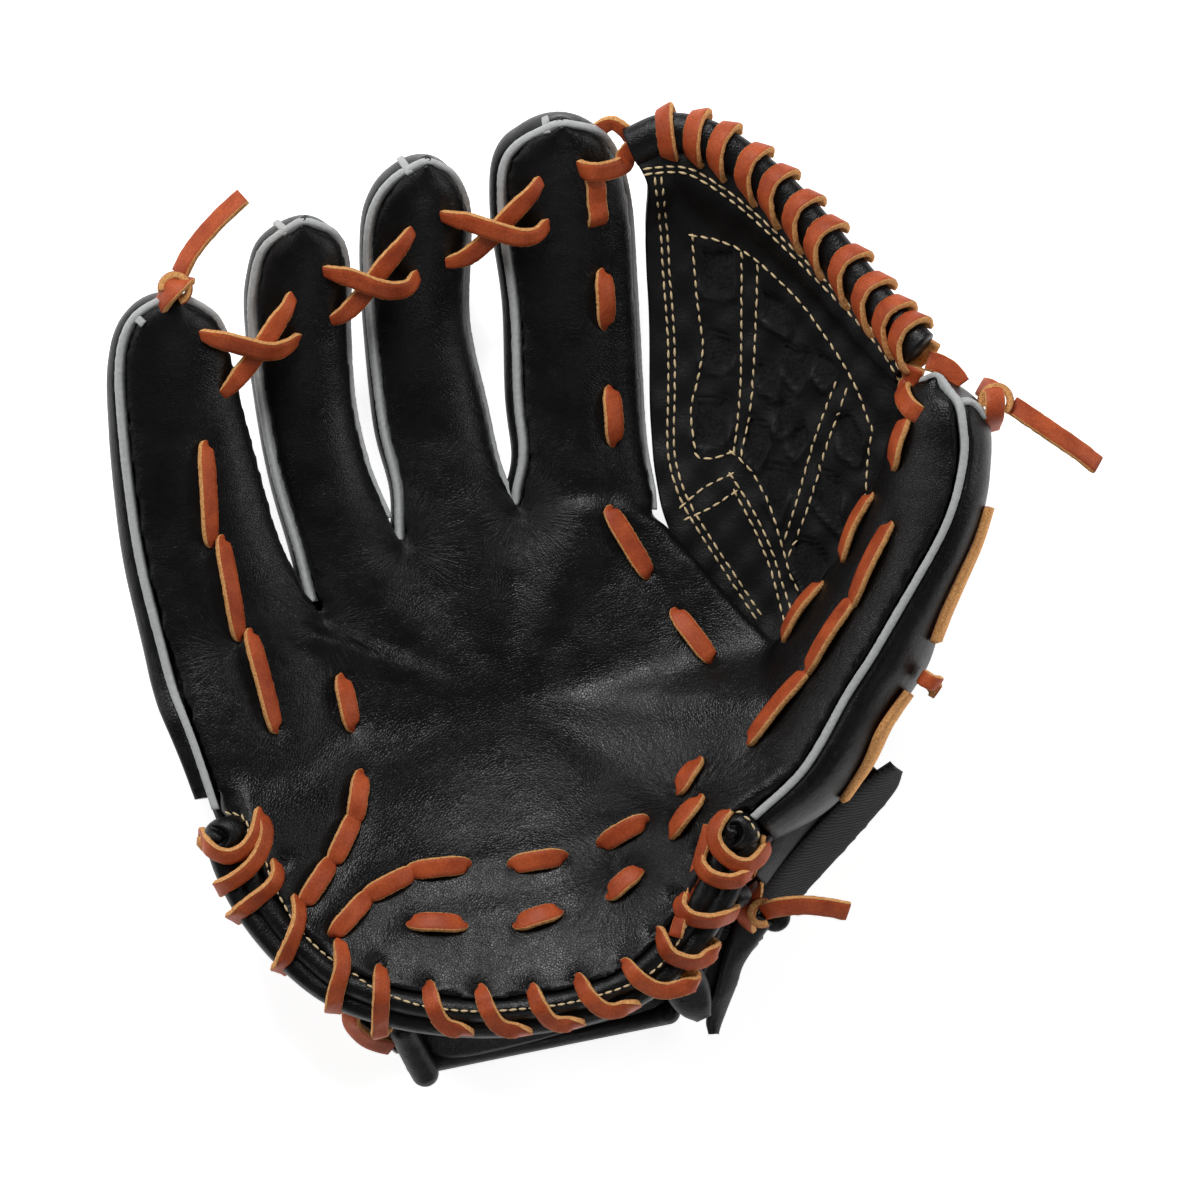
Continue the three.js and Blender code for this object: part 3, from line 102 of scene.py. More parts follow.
RING = table(
    "lu lv lw ru rv rw full deep wrap",
    [
        (0.257, 0.393, 0.3, 0.354, 0.473, 0.22, 0.5, 0.5, 1),
        (0.248, 0.443, 0.31, 0.341, 0.53, 0.25, 0.75, 0.75, 1),
        (0.227, 0.522, 0.32, 0.321, 0.569, 0.24, 0.9, 0.9, 1),
        (0.202, 0.599, 0.33, 0.298, 0.621, 0.25, 1, 1, 1),
        (0.185, 0.681, 0.36, 0.282, 0.69, 0.28, 1, 1, 1),
        (0.173, 0.775, 0.44, 0.277, 0.769, 0.36, 1, 1, 1),
        (0.176, 0.824, 0.5, 0.277, 0.824, 0.43, 0.92, 0.92, 1),
        (0.189, 0.862, 0.55, 0.269, 0.862, 0.5, 0.72, 0.72, 1),
        (0.219, 0.881, 0.58, 0.237, 0.882, 0.57, 0.3, 0.3, 1),
    ],
)
MIDDLE = table(
    "lu lv lw ru rv rw full deep wrap",
    [
        (0.354, 0.473, 0.23, 0.478, 0.5, 0.2, 0.55, 0.55, 1),
        (0.341, 0.53, 0.25, 0.471, 0.568, 0.22, 0.8, 0.8, 1),
        (0.338, 0.593, 0.25, 0.446, 0.626, 0.19, 1, 1, 1),
        (0.321, 0.665, 0.27, 0.432, 0.687, 0.19, 1, 1, 1),
        (0.308, 0.769, 0.34, 0.412, 0.775, 0.26, 1, 1, 1),
        (0.304, 0.857, 0.44, 0.413, 0.855, 0.37, 1, 1, 1),
        (0.311, 0.899, 0.5, 0.413, 0.903, 0.44, 0.92, 0.92, 1),
        (0.331, 0.927, 0.55, 0.401, 0.934, 0.51, 0.72, 0.72, 1),
        (0.357, 0.946, 0.58, 0.38, 0.948, 0.57, 0.3, 0.3, 1),
    ],
)
INDEX = table(
    "lu lv lw ru rv rw full deep wrap",
    [
        (0.478, 0.5, 0.2, 0.609, 0.516, 0.21, 0.55, 0.55, 1),
        (0.471, 0.568, 0.22, 0.625, 0.582, 0.21, 0.8, 0.8, 1),
        (0.481, 0.632, 0.26, 0.615, 0.637, 0.18, 1, 1, 1),
        (0.475, 0.698, 0.29, 0.61, 0.698, 0.19, 1, 1, 1),
        (0.471, 0.797, 0.36, 0.604, 0.802, 0.27, 1, 1, 1),
        (0.458, 0.89, 0.46, 0.598, 0.896, 0.37, 1, 1, 1),
        (0.456, 0.943, 0.53, 0.586, 0.943, 0.44, 0.92, 0.92, 1),
        (0.473, 0.974, 0.58, 0.569, 0.973, 0.52, 0.72, 0.72, 1),
        (0.505, 0.988, 0.61, 0.535, 0.989, 0.6, 0.3, 0.3, 1),
    ],
)
THUMB = table(
    "lu lv lw ru rv rw full deep wrap",
    [
        (0.665, 0.285, 0.36, 0.735, 0.24, 0.635, 0.6, 0.75, 0.5),
        (0.712, 0.346, 0.29, 0.79, 0.291, 0.68, 0.8, 1, 0.6),
        (0.76, 0.411, 0.3, 0.838, 0.369, 0.73, 0.95, 0.95, 1),
        (0.804, 0.465, 0.38, 0.881, 0.437, 0.79, 1, 1, 1),
        (0.841, 0.516, 0.46, 0.922, 0.511, 0.84, 1, 0.7, 1),
        (0.87, 0.577, 0.54, 0.955, 0.577, 0.87, 1, 0.64, 1),
        (0.89, 0.632, 0.6, 0.969, 0.637, 0.88, 0.95, 0.6, 1),
        (0.904, 0.676, 0.66, 0.966, 0.676, 0.88, 0.85, 0.6, 1),
        (0.917, 0.701, 0.71, 0.958, 0.698, 0.85, 0.6, 0.46, 1),
        (0.933, 0.711, 0.77, 0.947, 0.711, 0.81, 0.3, 0.25, 1),
    ],
)
PALM_RIM = table(
    "u v w",
    [
        (0.11, 0.44, 0.44),
        (0.125, 0.37, 0.44),
        (0.15, 0.3, 0.46),
        (0.775, 0.29, 0.66),
        (0.8, 0.36, 0.6),
        (0.765, 0.42, 0.36),
        (0.725, 0.46, 0.3),
        (0.67, 0.52, 0.28),
        (0.622, 0.565, 0.27),
        (0.55, 0.58, 0.3),
        (0.473, 0.565, 0.25),
        (0.41, 0.56, 0.3),
        (0.342, 0.53, 0.27),
        (0.295, 0.49, 0.33),
        (0.25, 0.445, 0.33),
        (0.16, 0.46, 0.45),
    ],
)
HAND_BACK = table(
    "lv rv lu lw ru rw floor",
    [
        (0.5, 0.5, 0.07, 0.42, 0.66, 0.1, 0.05),
        (0.42, 0.42, 0.074, 0.41, 0.74, 0.12, 0.05),
        (0.33, 0.33, 0.09, 0.41, 0.83, 0.5, 0.05),
        (0.25, 0.25, 0.12, 0.41, 0.79, 0.54, 0.05),
        (0.17, 0.17, 0.155, 0.38, 0.73, 0.42, 0.05),
        (0.09, 0.1, 0.215, 0.28, 0.7, 0.3, 0.05),
        (0.02, 0.05, 0.27, 0.2, 0.68, 0.22, 0.05),
        (-0.03, 0.015, 0.33, 0.13, 0.66, 0.16, 0.055),
    ],
)
HEEL = table(
    "u v w",
    [
        (0.139, 0.214, 0.5),
        (0.151, 0.178, 0.5),
        (0.173, 0.137, 0.5),
        (0.212, 0.09, 0.51),
        (0.263, 0.049, 0.52),
        (0.325, 0.026, 0.53),
        (0.382, 0.016, 0.54),
        (0.439, 0.013, 0.54),
        (0.495, 0.018, 0.54),
        (0.558, 0.031, 0.55),
        (0.609, 0.053, 0.56),
        (0.654, 0.093, 0.57),
        (0.686, 0.137, 0.58),
        (0.709, 0.181, 0.6),
        (0.722, 0.218, 0.62),
    ],
)
WEB_TOP = table(
    "u v w",
    [
        (0.598, 0.969, 0.55),
        (0.641, 0.985, 0.57),
        (0.69, 0.975, 0.59),
        (0.745, 0.938, 0.6),
        (0.794, 0.892, 0.62),
        (0.841, 0.838, 0.65),
        (0.887, 0.785, 0.7),
        (0.924, 0.747, 0.75),
    ],
)
WEB = table(
    "lu lv lw ru rv rw bulge",
    [
        (0.705, 0.429, 0.21, 0.779, 0.398, 0.255, 0),
        (0.666, 0.5, 0.185, 0.83, 0.473, 0.3, 0.05),
        (0.634, 0.577, 0.185, 0.867, 0.555, 0.42, 0.2),
        (0.622, 0.67, 0.2, 0.895, 0.637, 0.53, 0.4),
        (0.62, 0.78, 0.27, 0.917, 0.687, 0.62, 0.65),
        (0.615, 0.874, 0.37, 0.929, 0.711, 0.68, 0.85),
    ],
)
TAB = table(
    "lu lv lw ru rv rw",
    [
        (0.69, 0.1, 0.28, 0.7, 0.07, 0.08),
        (0.736, 0.137, 0.3, 0.762, 0.119, 0.06),
        (0.79, 0.198, 0.36, 0.807, 0.165, 0.1),
        (0.841, 0.249, 0.4, 0.858, 0.22, 0.16),
        (0.879, 0.28, 0.42, 0.896, 0.264, 0.22),
        (0.896, 0.291, 0.42, 0.904, 0.286, 0.3),
    ],
)



def smooth_rows(rows, per):
    """Catmull-Rom curve through rows, with per steps between two of them."""
    rows = np.asarray(rows, float)
    ends = np.vstack([2 * rows[0] - rows[1], rows, 2 * rows[-1] - rows[-2]])
    t = (np.arange(per) / per)[:, None]
    out = []
    for i in range(len(rows) - 1):
        a, b, c, d = ends[i : i + 4]
        out.append(
            0.5
            * (
                2 * b
                + (c - a) * t
                + (2 * a - 5 * b + 4 * c - d) * t**2
                + (3 * b - a - 3 * c + d) * t**3
            )
        )
    out.append(rows[-1:])
    return np.vstack(out)


def smooth_loop(rows, per):
    """The same through a closed line of rows."""
    rows = np.asarray(rows, float)
    long = np.vstack([rows[-2:], rows, rows[:2]])
    dense = smooth_rows(long, per)
    return dense[2 * per : (2 + len(rows)) * per]


def unit(v):
    return v / np.maximum(np.linalg.norm(v, axis=-1, keepdims=True), 1e-12)


def dot(a, b):
    return np.sum(a * b, axis=-1, keepdims=True)


def tangents(line):
    return unit(np.gradient(line, axis=0))


def even(line, count):
    """The line at count points of even spacing."""
    line = np.asarray(line, float)
    run = np.concatenate([[0], np.cumsum(np.linalg.norm(np.diff(line, axis=0), axis=1))])
    at = np.linspace(0, run[-1], count)
    return np.stack([np.interp(at, run, line[:, k]) for k in range(line.shape[1])], axis=1)


def along(line, step):
    """Points of a line every step, and how long it is."""
    line = np.asarray(line, float)
    length = np.linalg.norm(np.diff(line, axis=0), axis=1).sum()
    return even(line, max(2, int(round(length / step)) + 1)), length


# ---------------------------------------------------------------- meshes


def make_mesh(name, verts, faces, material, values=None, smooth=True):
    """A mesh object. values are its float attributes, one number for each point."""
    mesh = bpy.data.meshes.new(name)
    mesh.from_pydata([tuple(v) for v in verts], [], [tuple(f) for f in faces])
    mesh.update()
    mesh.polygons.foreach_set("use_smooth", [smooth] * len(mesh.polygons))
    for key, numbers in (values or {}).items():
        numbers = np.asarray(numbers, float)
        if numbers.ndim == 2:
            mesh.attributes.new(key, "FLOAT_VECTOR", "POINT").data.foreach_set("vector", numbers.ravel())
        else:
            mesh.attributes.new(key, "FLOAT", "POINT").data.foreach_set("value", numbers)
    mesh.materials.append(material)
    made = bpy.data.objects.new(name, mesh)
    bpy.context.scene.collection.objects.link(made)
    return made


def ring_faces(rings, count, closed_ring=True, start=0):
    """Quads between rings of count points each."""
    r, k = np.meshgrid(np.arange(rings - 1), np.arange(count if closed_ring else count - 1), indexing="ij")
    a = start + r * count + k
    b = start + r * count + (k + 1) % count
    return np.stack([a, b, b + count, a + count], axis=-1).reshape(-1, 4).tolist()


def tube_mesh(rings):
    """Points and faces of rings (n, m, 3) with both ends closed."""
    n, m, _ = rings.shape
    verts = rings.reshape(-1, 3)
    faces = ring_faces(n, m)
    first, last = len(verts), len(verts) + 1
    verts = np.vstack([verts, rings[0].mean(axis=0), rings[-1].mean(axis=0)])
    for k in range(m):
        faces.append([first, (k + 1) % m, k])
        faces.append([last, (n - 1) * m + k, (n - 1) * m + (k + 1) % m])
    return verts, faces


def wall_mesh(outer, inner):
    """Points and faces of a closed wall between two grids (n, m, 3)."""
    rings = np.concatenate([outer, inner[:, ::-1]], axis=1)
    n, count, _ = rings.shape
    faces = ring_faces(n, count)
    last = (n - 1) * count
    for k in range(count // 2 - 1):
        m = count - 1 - k
        faces.append([k, m, m - 1, k + 1])
        faces.append([last + k, last + k + 1, last + m - 1, last + m])
    return rings.reshape(-1, 3), faces


def joined(parts):
    """Several (points, faces) as one."""
    verts, faces, base = [], [], 0
    for v, f in parts:
        verts.append(np.asarray(v))
        faces.extend([[i + base for i in face] for face in f])
        base += len(v)
    return np.vstack(verts), faces


def outward(verts, faces):
    """The faces, turned over if the body's volume is negative."""
    v = np.asarray(verts)
    total = 0.0
    for face in faces:
        for i in range(1, len(face) - 1):
            total += np.dot(v[face[0]], np.cross(v[face[i]], v[face[i + 1]]))
    return faces if total > 0 else [list(reversed(f)) for f in faces]


def place_piece(piece, nodes=()):
    """Hides the model's parts that a piece stands for, if any, and attaches the piece to the root body; a piece without
    nodes is an extra there.
    """
    if nodes:
        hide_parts(*nodes)
    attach(piece, "root")
    return piece


def bvh_of(verts, faces):
    return BVHTree.FromPolygons([tuple(v) for v in verts], faces)


# ---------------------------------------------------------------- stalls


class Stall:
    """Oval sections of a finger or thumb stall, root to tip."""

    def __init__(self, name, rows, back, mirrored=False, per=8):
        self.name, self.mirrored, self.per = name, mirrored, per
        r = smooth_rows(rows, per)
        left, right = place(*r[:, 0:3].T), place(*r[:, 3:6].T)
        axis = tangents((left + right) / 2)
        self.start = SEAM if mirrored else 0.0
        self.end = math.pi if mirrored else math.pi - SEAM
        crown = CROWN * r[:, 6:7]
        chord = right - left
        chord = chord - axis * dot(chord, axis)
        span = np.linalg.norm(chord, axis=1, keepdims=True)
        h = chord / span
        k = unit(np.cross(h, axis))
        k = k * np.where(k[:, 2:3] < 0, -1, 1)
        sins = math.sin(self.start) - math.sin(self.end)
        rise = crown * sins
        run = np.sqrt(np.maximum(span**2 - rise**2, 1e-6))
        half = run / (math.cos(self.start) - math.cos(self.end))
        e1 = h * run / span - k * rise / span
        e2 = h * rise / span + k * run / span
        centre = (left + right) / 2
        centre = centre - e1 * half * (math.cos(self.start) + math.cos(self.end)) / 2
        centre = centre - e2 * crown * (math.sin(self.start) + math.sin(self.end)) / 2
        depth = back * r[:, 7:8]
        full, wrap = r[:, 6:7], r[:, 8:9]
        for grow, by in ((0.8, 0.9), (0.5, 1.9), (0.15, 2.5)):
            centre = np.vstack([centre, centre[len(r) - 1] + axis[len(r) - 1] * by * MM])
            half = np.vstack([half, half[len(r) - 1] * grow])
            crown = np.vstack([crown, crown[len(r) - 1] * grow])
            depth = np.vstack([depth, depth[len(r) - 1] * grow])
            e1, e2 = np.vstack([e1, e1[-1]]), np.vstack([e2, e2[-1]])
            full, wrap = np.vstack([full, full[-1] * grow]), np.vstack([wrap, wrap[-1]])
            axis = np.vstack([axis, axis[-1]])
        self.rows = len(r)
        self.centre, self.e1, self.e2, self.axis = centre, e1, e2, axis
        self.half, self.crown, self.depth = half, crown, depth
        self.full, self.wrap = full, wrap

    def at(self, angle, inset):
        """Points (rows, angles, 3); angle and inset are (rows or 1, angles)."""
        angle, inset = np.broadcast_arrays(angle, inset)
        up = np.where(np.sin(angle) >= 0, self.crown, self.depth)
        x = np.maximum(self.half - inset, 0.4 * MM) * np.cos(angle)
        y = np.maximum(up - inset, 0.4 * MM) * np.sin(angle)
        return self.centre[:, None] + self.e1[:, None] * x[..., None] + self.e2[:, None] * y[..., None]

    def turn(self, angle, arc):
        round_ = self.crown if math.sin(angle) > 0.1 else self.depth
        return arc / np.hypot(self.half * math.sin(angle), round_ * math.cos(angle))

    def front(self):
        t = np.linspace(0, 1, 29)[None, :]
        angle = self.start + (self.end - self.start) * t
        thick = np.minimum(EDGE + (PAD - EDGE) * np.sin(math.pi * t), 9 * MM * self.full)
        return wall_mesh(self.at(angle + 0 * self.full, 0 * thick), self.at(angle + 0 * self.full, thick))

    def back(self):
        room = WELT_WIDTH + 2 * WELT_SLACK
        first = self.end + self.turn(self.end, room)
        last = self.start + 2 * math.pi - self.turn(self.start, room)
        if self.mirrored:
            first = last - (last - first) * self.wrap
        else:
            last = first + (last - first) * self.wrap
        t = np.linspace(0, 1, 25)[None, :]
        angle = first + (last - first) * t
        swell = 0.6 * MM * np.sin(math.pi * t) * np.ones_like(angle)
        return wall_mesh(self.at(angle, -swell), self.at(angle, BACK_WALL + 0 * angle))

    def welt(self, left_row, right_row):
        """Rings of the welt: up the left seam, over the tip and down the right."""

        def side(seam, way):
            ahead = np.minimum(self.turn(seam, WELT_SLACK + WELT_WIDTH / 2), 0.4)
            here = self.at(seam + way * ahead, 0 * ahead)[: self.rows, 0]
            beyond = self.at(seam + way * (ahead + 0.05), 0 * ahead)[: self.rows, 0]
            return here, unit(beyond - here)

        left, left_across = side(self.end, 1)
        right, right_across = side(self.start, -1)
        last = self.rows - 1
        tip = (left[last] + right[last]) / 2 + self.axis[last] * 2.4 * MM + self.e2[last] * 0.9 * MM
        skip = self.per // 2
        first, final = left_row * self.per, right_row * self.per
        line = np.vstack([left[first : last - skip], tip, right[final : last - skip][::-1]])
        across = np.vstack([left_across[first : last - skip], -self.e2[last], right_across[final : last - skip][::-1]])
        if first == 0:
            line = np.vstack([line[0] + unit(line[0] - line[2]) * 4.5 * MM, line])
            across = np.vstack([across[0], across])
        both = even(np.hstack([line, across * MM]), 3 * len(line))
        for _ in range(12):
            both[1:-1] = 0.5 * both[1:-1] + 0.25 * (both[:-2] + both[2:])
        line, across = both[:, :3], unit(both[:, 3:])
        out = unit(np.cross(tangents(line), across))
        deep, half = -2.2 * MM, WELT_WIDTH / 2
        top = WELT_PROUD + 0.25 * MM
        profile = [(-half, 0.3 * MM), (-half, WELT_PROUD), (0, top), (half, WELT_PROUD), (half, 0.3 * MM), (half, deep),
                   (-half, deep)]
        return np.stack([line + across * a + out * b for a, b in profile], axis=1)

    def tip_pad(self):
        """A dome that rounds the front of the tip."""
        i = self.rows - self.per
        wide, high = 0.86 * self.half[i, 0], 0.92 * self.crown[i, 0]
        up, round_ = np.meshgrid(np.linspace(-1.45, 1.45, 13), np.linspace(0, 2 * math.pi, 24, endpoint=False),
                                 indexing="ij")
        x = (np.cos(up) * np.cos(round_) * wide)[..., None] * self.e1[i]
        y = (np.cos(up) * np.sin(round_) * 6.4 * MM)[..., None] * self.axis[i]
        z = (np.sin(up) * high + 0.12 * high)[..., None] * self.e2[i]
        return tube_mesh(self.centre[i] - self.axis[i] * 1.2 * MM + x + y + z)


FINGERS = [
    Stall("pinky", PINKY, FINGER_DEPTH),
    Stall("ring", RING, FINGER_DEPTH),
    Stall("middle", MIDDLE, FINGER_DEPTH),
    Stall("index", INDEX, FINGER_DEPTH),
    Stall("thumb", THUMB, THUMB_DEPTH, mirrored=True),
]
WELT_ROWS = {"pinky": (0, 6), "ring": (1, 2), "middle": (1, 1), "index": (1, 1), "thumb": (7, 0)}

# ---------------------------------------------------------------- heel line

heel_rows = place(*HEEL.T)
heel_line = even(smooth_rows(heel_rows, 12), 240)
heel_share = np.linspace(0, 1, len(heel_line))
heel_along = tangents(heel_line)
heel_tip = math.radians(38) * np.sin(math.pi * heel_share)
heel_level = unit(np.stack([-heel_along[:, 1], heel_along[:, 0], 0 * heel_share], axis=1))
heel_in = unit(heel_level * np.cos(heel_tip)[:, None] + np.array([0, 0, 1.0]) * np.sin(heel_tip)[:, None])
heel_in = unit(heel_in - heel_along * dot(heel_in, heel_along))
heel_up = unit(np.cross(heel_along, heel_in))


def palm_rim():
    rows = place(*PALM_RIM.T)
    heel = heel_rows
    tang = tangents(heel)
    share = np.linspace(0, 1, len(heel))
    tip = math.radians(38) * np.sin(math.pi * share)
    inward = unit(np.stack([-tang[:, 1], tang[:, 0], 0 * share], axis=1))
    across = unit(inward * np.cos(tip)[:, None] + np.array([0, 0, 1.0]) * np.sin(tip)[:, None])
    to_roll = across * ROLL_SPACING / 2
    level = to_roll * np.array([1, 1, 0])
    level = unit(level) * (ROLL / 2 + 0.0001)
    points = heel + to_roll + level + np.array([0, 0, PAD / 2])
    return np.vstack([rows[:3], points, rows[3:]])


def palm_dish():
    centre = place(*PALM_CENTRE)
    rim = smooth_loop(palm_rim(), 7)
    count = len(rim)
    shares = np.linspace(0, 1, 41)[1:]
    xy = centre + (rim - centre)[None] * shares[:, None, None]
    z = centre[2] + (rim[None, :, 2] - centre[2]) * shares[:, None] ** 1.8
    top = np.concatenate([xy[..., :2], z[..., None]], axis=2)
    under = top - np.array([0, 0, PAD])
    rings = np.concatenate([top, under[::-1]], axis=0)
    verts = rings.reshape(-1, 3)
    faces = ring_faces(len(rings), count)
    verts = np.vstack([verts, centre, centre - np.array([0, 0, PAD])])
    last = (len(rings) - 1) * count
    for k in range(count):
        n = (k + 1) % count
        faces.append([len(verts) - 2, k, n])
        faces.append([len(verts) - 1, last + n, last + k])
    return verts, faces


def neighbours(count, faces):
    f = np.asarray(faces)
    edges = np.vstack([f[:, [0, 1]], f[:, [1, 2]], f[:, [2, 3]], f[:, [3, 0]]])
    edges = np.unique(np.sort(edges, axis=1), axis=0)
    return edges, np.bincount(edges.ravel(), minlength=count).astype(float)


def relax(verts, edges, degree, amount):
    total = np.zeros_like(verts)
    for k in range(3):
        total[:, k] = np.bincount(edges[:, 0], verts[edges[:, 1], k], len(verts))
        total[:, k] += np.bincount(edges[:, 1], verts[edges[:, 0], k], len(verts))
    mean = total / np.maximum(degree, 1)[:, None]
    return verts + (mean - verts) * amount


def vertex_normals(verts, faces):
    f = np.asarray(faces)
    n = np.cross(verts[f[:, 2]] - verts[f[:, 0]], verts[f[:, 3]] - verts[f[:, 1]])
    out = np.zeros_like(verts)
    for k in range(4):
        for c in range(3):
            out[:, c] += np.bincount(f[:, k], n[:, c], len(verts))
    return unit(out)


def remeshed(verts, faces, size):
    """The body's outside as even quads."""
    mesh = bpy.data.meshes.new("palm_source")
    mesh.from_pydata([tuple(v) for v in verts], [], faces)
    source = bpy.data.objects.new("palm_source", mesh)
    bpy.context.scene.collection.objects.link(source)
    modifier = source.modifiers.new("even", "REMESH")
    modifier.mode = "VOXEL"
    modifier.voxel_size = size
    modifier.adaptivity = 0
    shown = source.evaluated_get(bpy.context.evaluated_depsgraph_get()).to_mesh()
    v = np.zeros(len(shown.vertices) * 3)
    shown.vertices.foreach_get("co", v)
    f = np.array([list(p.vertices) for p in shown.polygons])
    bpy.data.objects.remove(source)
    bpy.data.meshes.remove(mesh)
    return v.reshape(-1, 3), f


# ---------------------------------------------------------------- where laces and stitches lie

# Running stitches: middle, length and direction in the front view.
INDEX_ROW = [(604, 298, 49, -87), (612, 415, 50, -86), (629, 542, 73, -59), (694, 636, 57, -53)]
PINKY_SIDE_ROW = [(208, 494, 96, -87), (230, 588, 97, -80), (262, 681, 98, -75)]
PALM_ONE = [(346, 703, 47, -78)]
PINKY_HEEL_ROW = [(357, 799, 46, -98), (343, 840, 50, -115), (317, 883, 48, -123)]
HEEL_UPPER_ROW = [
    (351, 915, 49, -132),
    (389, 885, 51, -153),
    (438, 869, 55, -174),
    (538, 862, 49, -171),
    (624, 833, 47, -150),
]
HEEL_LOWER_ROW = [(437, 924, 49, 178), (538, 918, 40, -162), (625, 883, 35, -139)]
THUMB_LOWER_ROW = [(689, 776, 32, -124), (686, 816, 42, -128)]
THUMB_ROW = [(870, 565, 84, -115), (830, 635, 82, -122), (778, 707, 86, -129)]
WEB_THUMB_ROW = [(899, 444, 44, -105), (857, 528, 64, -114), (803, 612, 61, -124)]

CREASES = [
    (325, 625, 120),
    (405, 548, 110),
    (520, 512, 90),
    (235, 650, 90),
    (620, 870, 80),
    (690, 800, 100),
]

# ---------------------------------------------------------------- materials


def new_material(name, color, roughness):
    made = bpy.data.materials.new(name)
    made.use_nodes = True
    tree = made.node_tree
    shader = tree.nodes["Principled BSDF"]
    shader.inputs["Base Color"].default_value = (*color, 1)
    shader.inputs["Roughness"].default_value = roughness
    return made, tree, shader


def node(tree, kind, links=None, **values):
    """A node with its inputs set or linked: name=value, and links={input: socket}."""
    made = tree.nodes.new(kind)
    for key, value in values.items():
        name = key.replace("_", " ")
        if name in made.inputs:
            made.inputs[name].default_value = value
        else:
            setattr(made, key, value)
    for key, socket in (links or {}).items():
        tree.links.new(socket, made.inputs[key])
    return made


def math_node(tree, operation, a, b=0.5):
    made = tree.nodes.new("ShaderNodeMath")
    made.operation = operation
    for i, value in enumerate((a, b)):
        if isinstance(value, (int, float)):
            made.inputs[i].default_value = value
        else:
            tree.links.new(value, made.inputs[i])
    return made.outputs[0]


def mixed(tree, factor, a, b):
    """A colour between two, by a factor."""
    made = tree.nodes.new("ShaderNodeMix")
    made.data_type = "RGBA"
    tree.links.new(factor, made.inputs[0])
    for index, value in ((6, a), (7, b)):
        if isinstance(value, tuple):
            made.inputs[index].default_value = (*value, 1)
        else:
            tree.links.new(value, made.inputs[index])
    return made.outputs[2]


def ranged(tree, value, low, high, to_low=0.0, to_high=1.0):
    made = tree.nodes.new("ShaderNodeMapRange")
    tree.links.new(value, made.inputs[0])
    for i, number in enumerate((low, high, to_low, to_high)):
        made.inputs[i + 1].default_value = number
    return made.outputs[0]


def bumped(tree, shader, height, distance, strength=1.0):
    made = tree.nodes.new("ShaderNodeBump")
    made.inputs["Distance"].default_value = distance
    made.inputs["Strength"].default_value = strength
    tree.links.new(height, made.inputs["Height"])
    tree.links.new(made.outputs[0], shader.inputs["Normal"])


def leather_material(name, color, roughness, fold_depth):
    """Black grained leather: pebbles, wrinkles, and creases where the crease attribute is."""
    made, tree, shader = new_material(name, color, roughness)
    at = node(tree, "ShaderNodeTexCoord").outputs["Object"]
    pebble = node(tree, "ShaderNodeTexVoronoi", {"Vector": at}, feature="DISTANCE_TO_EDGE", Scale=1150.0)
    pebbles = ranged(tree, pebble.outputs["Distance"], 0.0, 0.2)
    soft = node(tree, "ShaderNodeTexNoise", {"Vector": at}, Scale=80.0, Detail=4.0).outputs[0]
    wander = node(tree, "ShaderNodeTexNoise", {"Vector": at}, Scale=130.0, Detail=4.0, Distortion=0.4).outputs[0]
    beside_line = math_node(tree, "ABSOLUTE", math_node(tree, "SUBTRACT", wander, 0.5))
    wrinkle = ranged(tree, beside_line, 0.0, 0.03)
    wrinkle = math_node(tree, "MULTIPLY", wrinkle, ranged(tree, soft, 0.4, 0.62))
    fold = node(tree, "ShaderNodeAttribute", attribute_name="fold").outputs["Vector"]
    amount = node(tree, "ShaderNodeAttribute", attribute_name="crease").outputs["Fac"]
    parts = node(tree, "ShaderNodeSeparateXYZ", {"Vector": fold})
    sway = math_node(tree, "MULTIPLY", soft, 4.0)
    across = math_node(tree, "ADD", parts.outputs[0], sway)
    line = node(tree, "ShaderNodeCombineXYZ", {"X": across, "Y": parts.outputs[1], "Z": parts.outputs[2]}).outputs[0]
    creases = node(tree, "ShaderNodeTexNoise", {"Vector": line}, Scale=1.0, Detail=4.0, Roughness=0.6).outputs[0]
    crease = math_node(tree, "MULTIPLY", ranged(tree, creases, 0.36, 0.58), amount)
    height = math_node(tree, "MULTIPLY", pebbles, 0.06)
    height = math_node(tree, "ADD", height, math_node(tree, "MULTIPLY", soft, 0.8))
    height = math_node(tree, "ADD", height, math_node(tree, "MULTIPLY", wrinkle, 0.07))
    height = math_node(tree, "ADD", height, math_node(tree, "MULTIPLY", crease, fold_depth))
    bumped(tree, shader, height, 0.0007)
    tree.links.new(ranged(tree, soft, 0.3, 0.7, roughness - 0.04, roughness + 0.08), shader.inputs["Roughness"])
    dark, light = (tuple(k * c for c in color) for k in (0.7, 1.4))
    tree.links.new(mixed(tree, soft, dark, light), shader.inputs["Base Color"])
    shader.inputs["Specular IOR Level"].default_value = 0.3
    return made


def web_material():
    """Black leather with rough split leather where the suede attribute is one."""
    made = leather_material("web_leather", (0.0026, 0.0026, 0.003), 0.38, 0.0)
    tree = made.node_tree
    shader = tree.nodes["Principled BSDF"]
    suede = node(tree, "ShaderNodeAttribute", attribute_name="suede").outputs["Fac"]
    at = node(tree, "ShaderNodeTexCoord").outputs["Object"]
    nap = node(tree, "ShaderNodeTexNoise", {"Vector": at}, Scale=900.0, Detail=6.0, Roughness=0.75).outputs[0]
    color = shader.inputs["Base Color"].links[0].from_socket
    rough = ranged(tree, nap, 0.35, 0.7)
    fuzz = mixed(tree, rough, (0.001, 0.001, 0.0012), (0.026, 0.027, 0.029))
    tree.links.new(mixed(tree, suede, color, fuzz), shader.inputs["Base Color"])
    bump = shader.inputs["Normal"].links[0].from_node
    height = bump.inputs["Height"].links[0].from_socket
    rise = math_node(tree, "MULTIPLY", math_node(tree, "MULTIPLY", nap, suede), 2.2)
    tree.links.new(math_node(tree, "ADD", height, rise), bump.inputs["Height"])
    shade = ranged(tree, suede, 0.0, 1.0, 0.52, 0.95)
    tree.links.new(shade, shader.inputs["Roughness"])
    return made


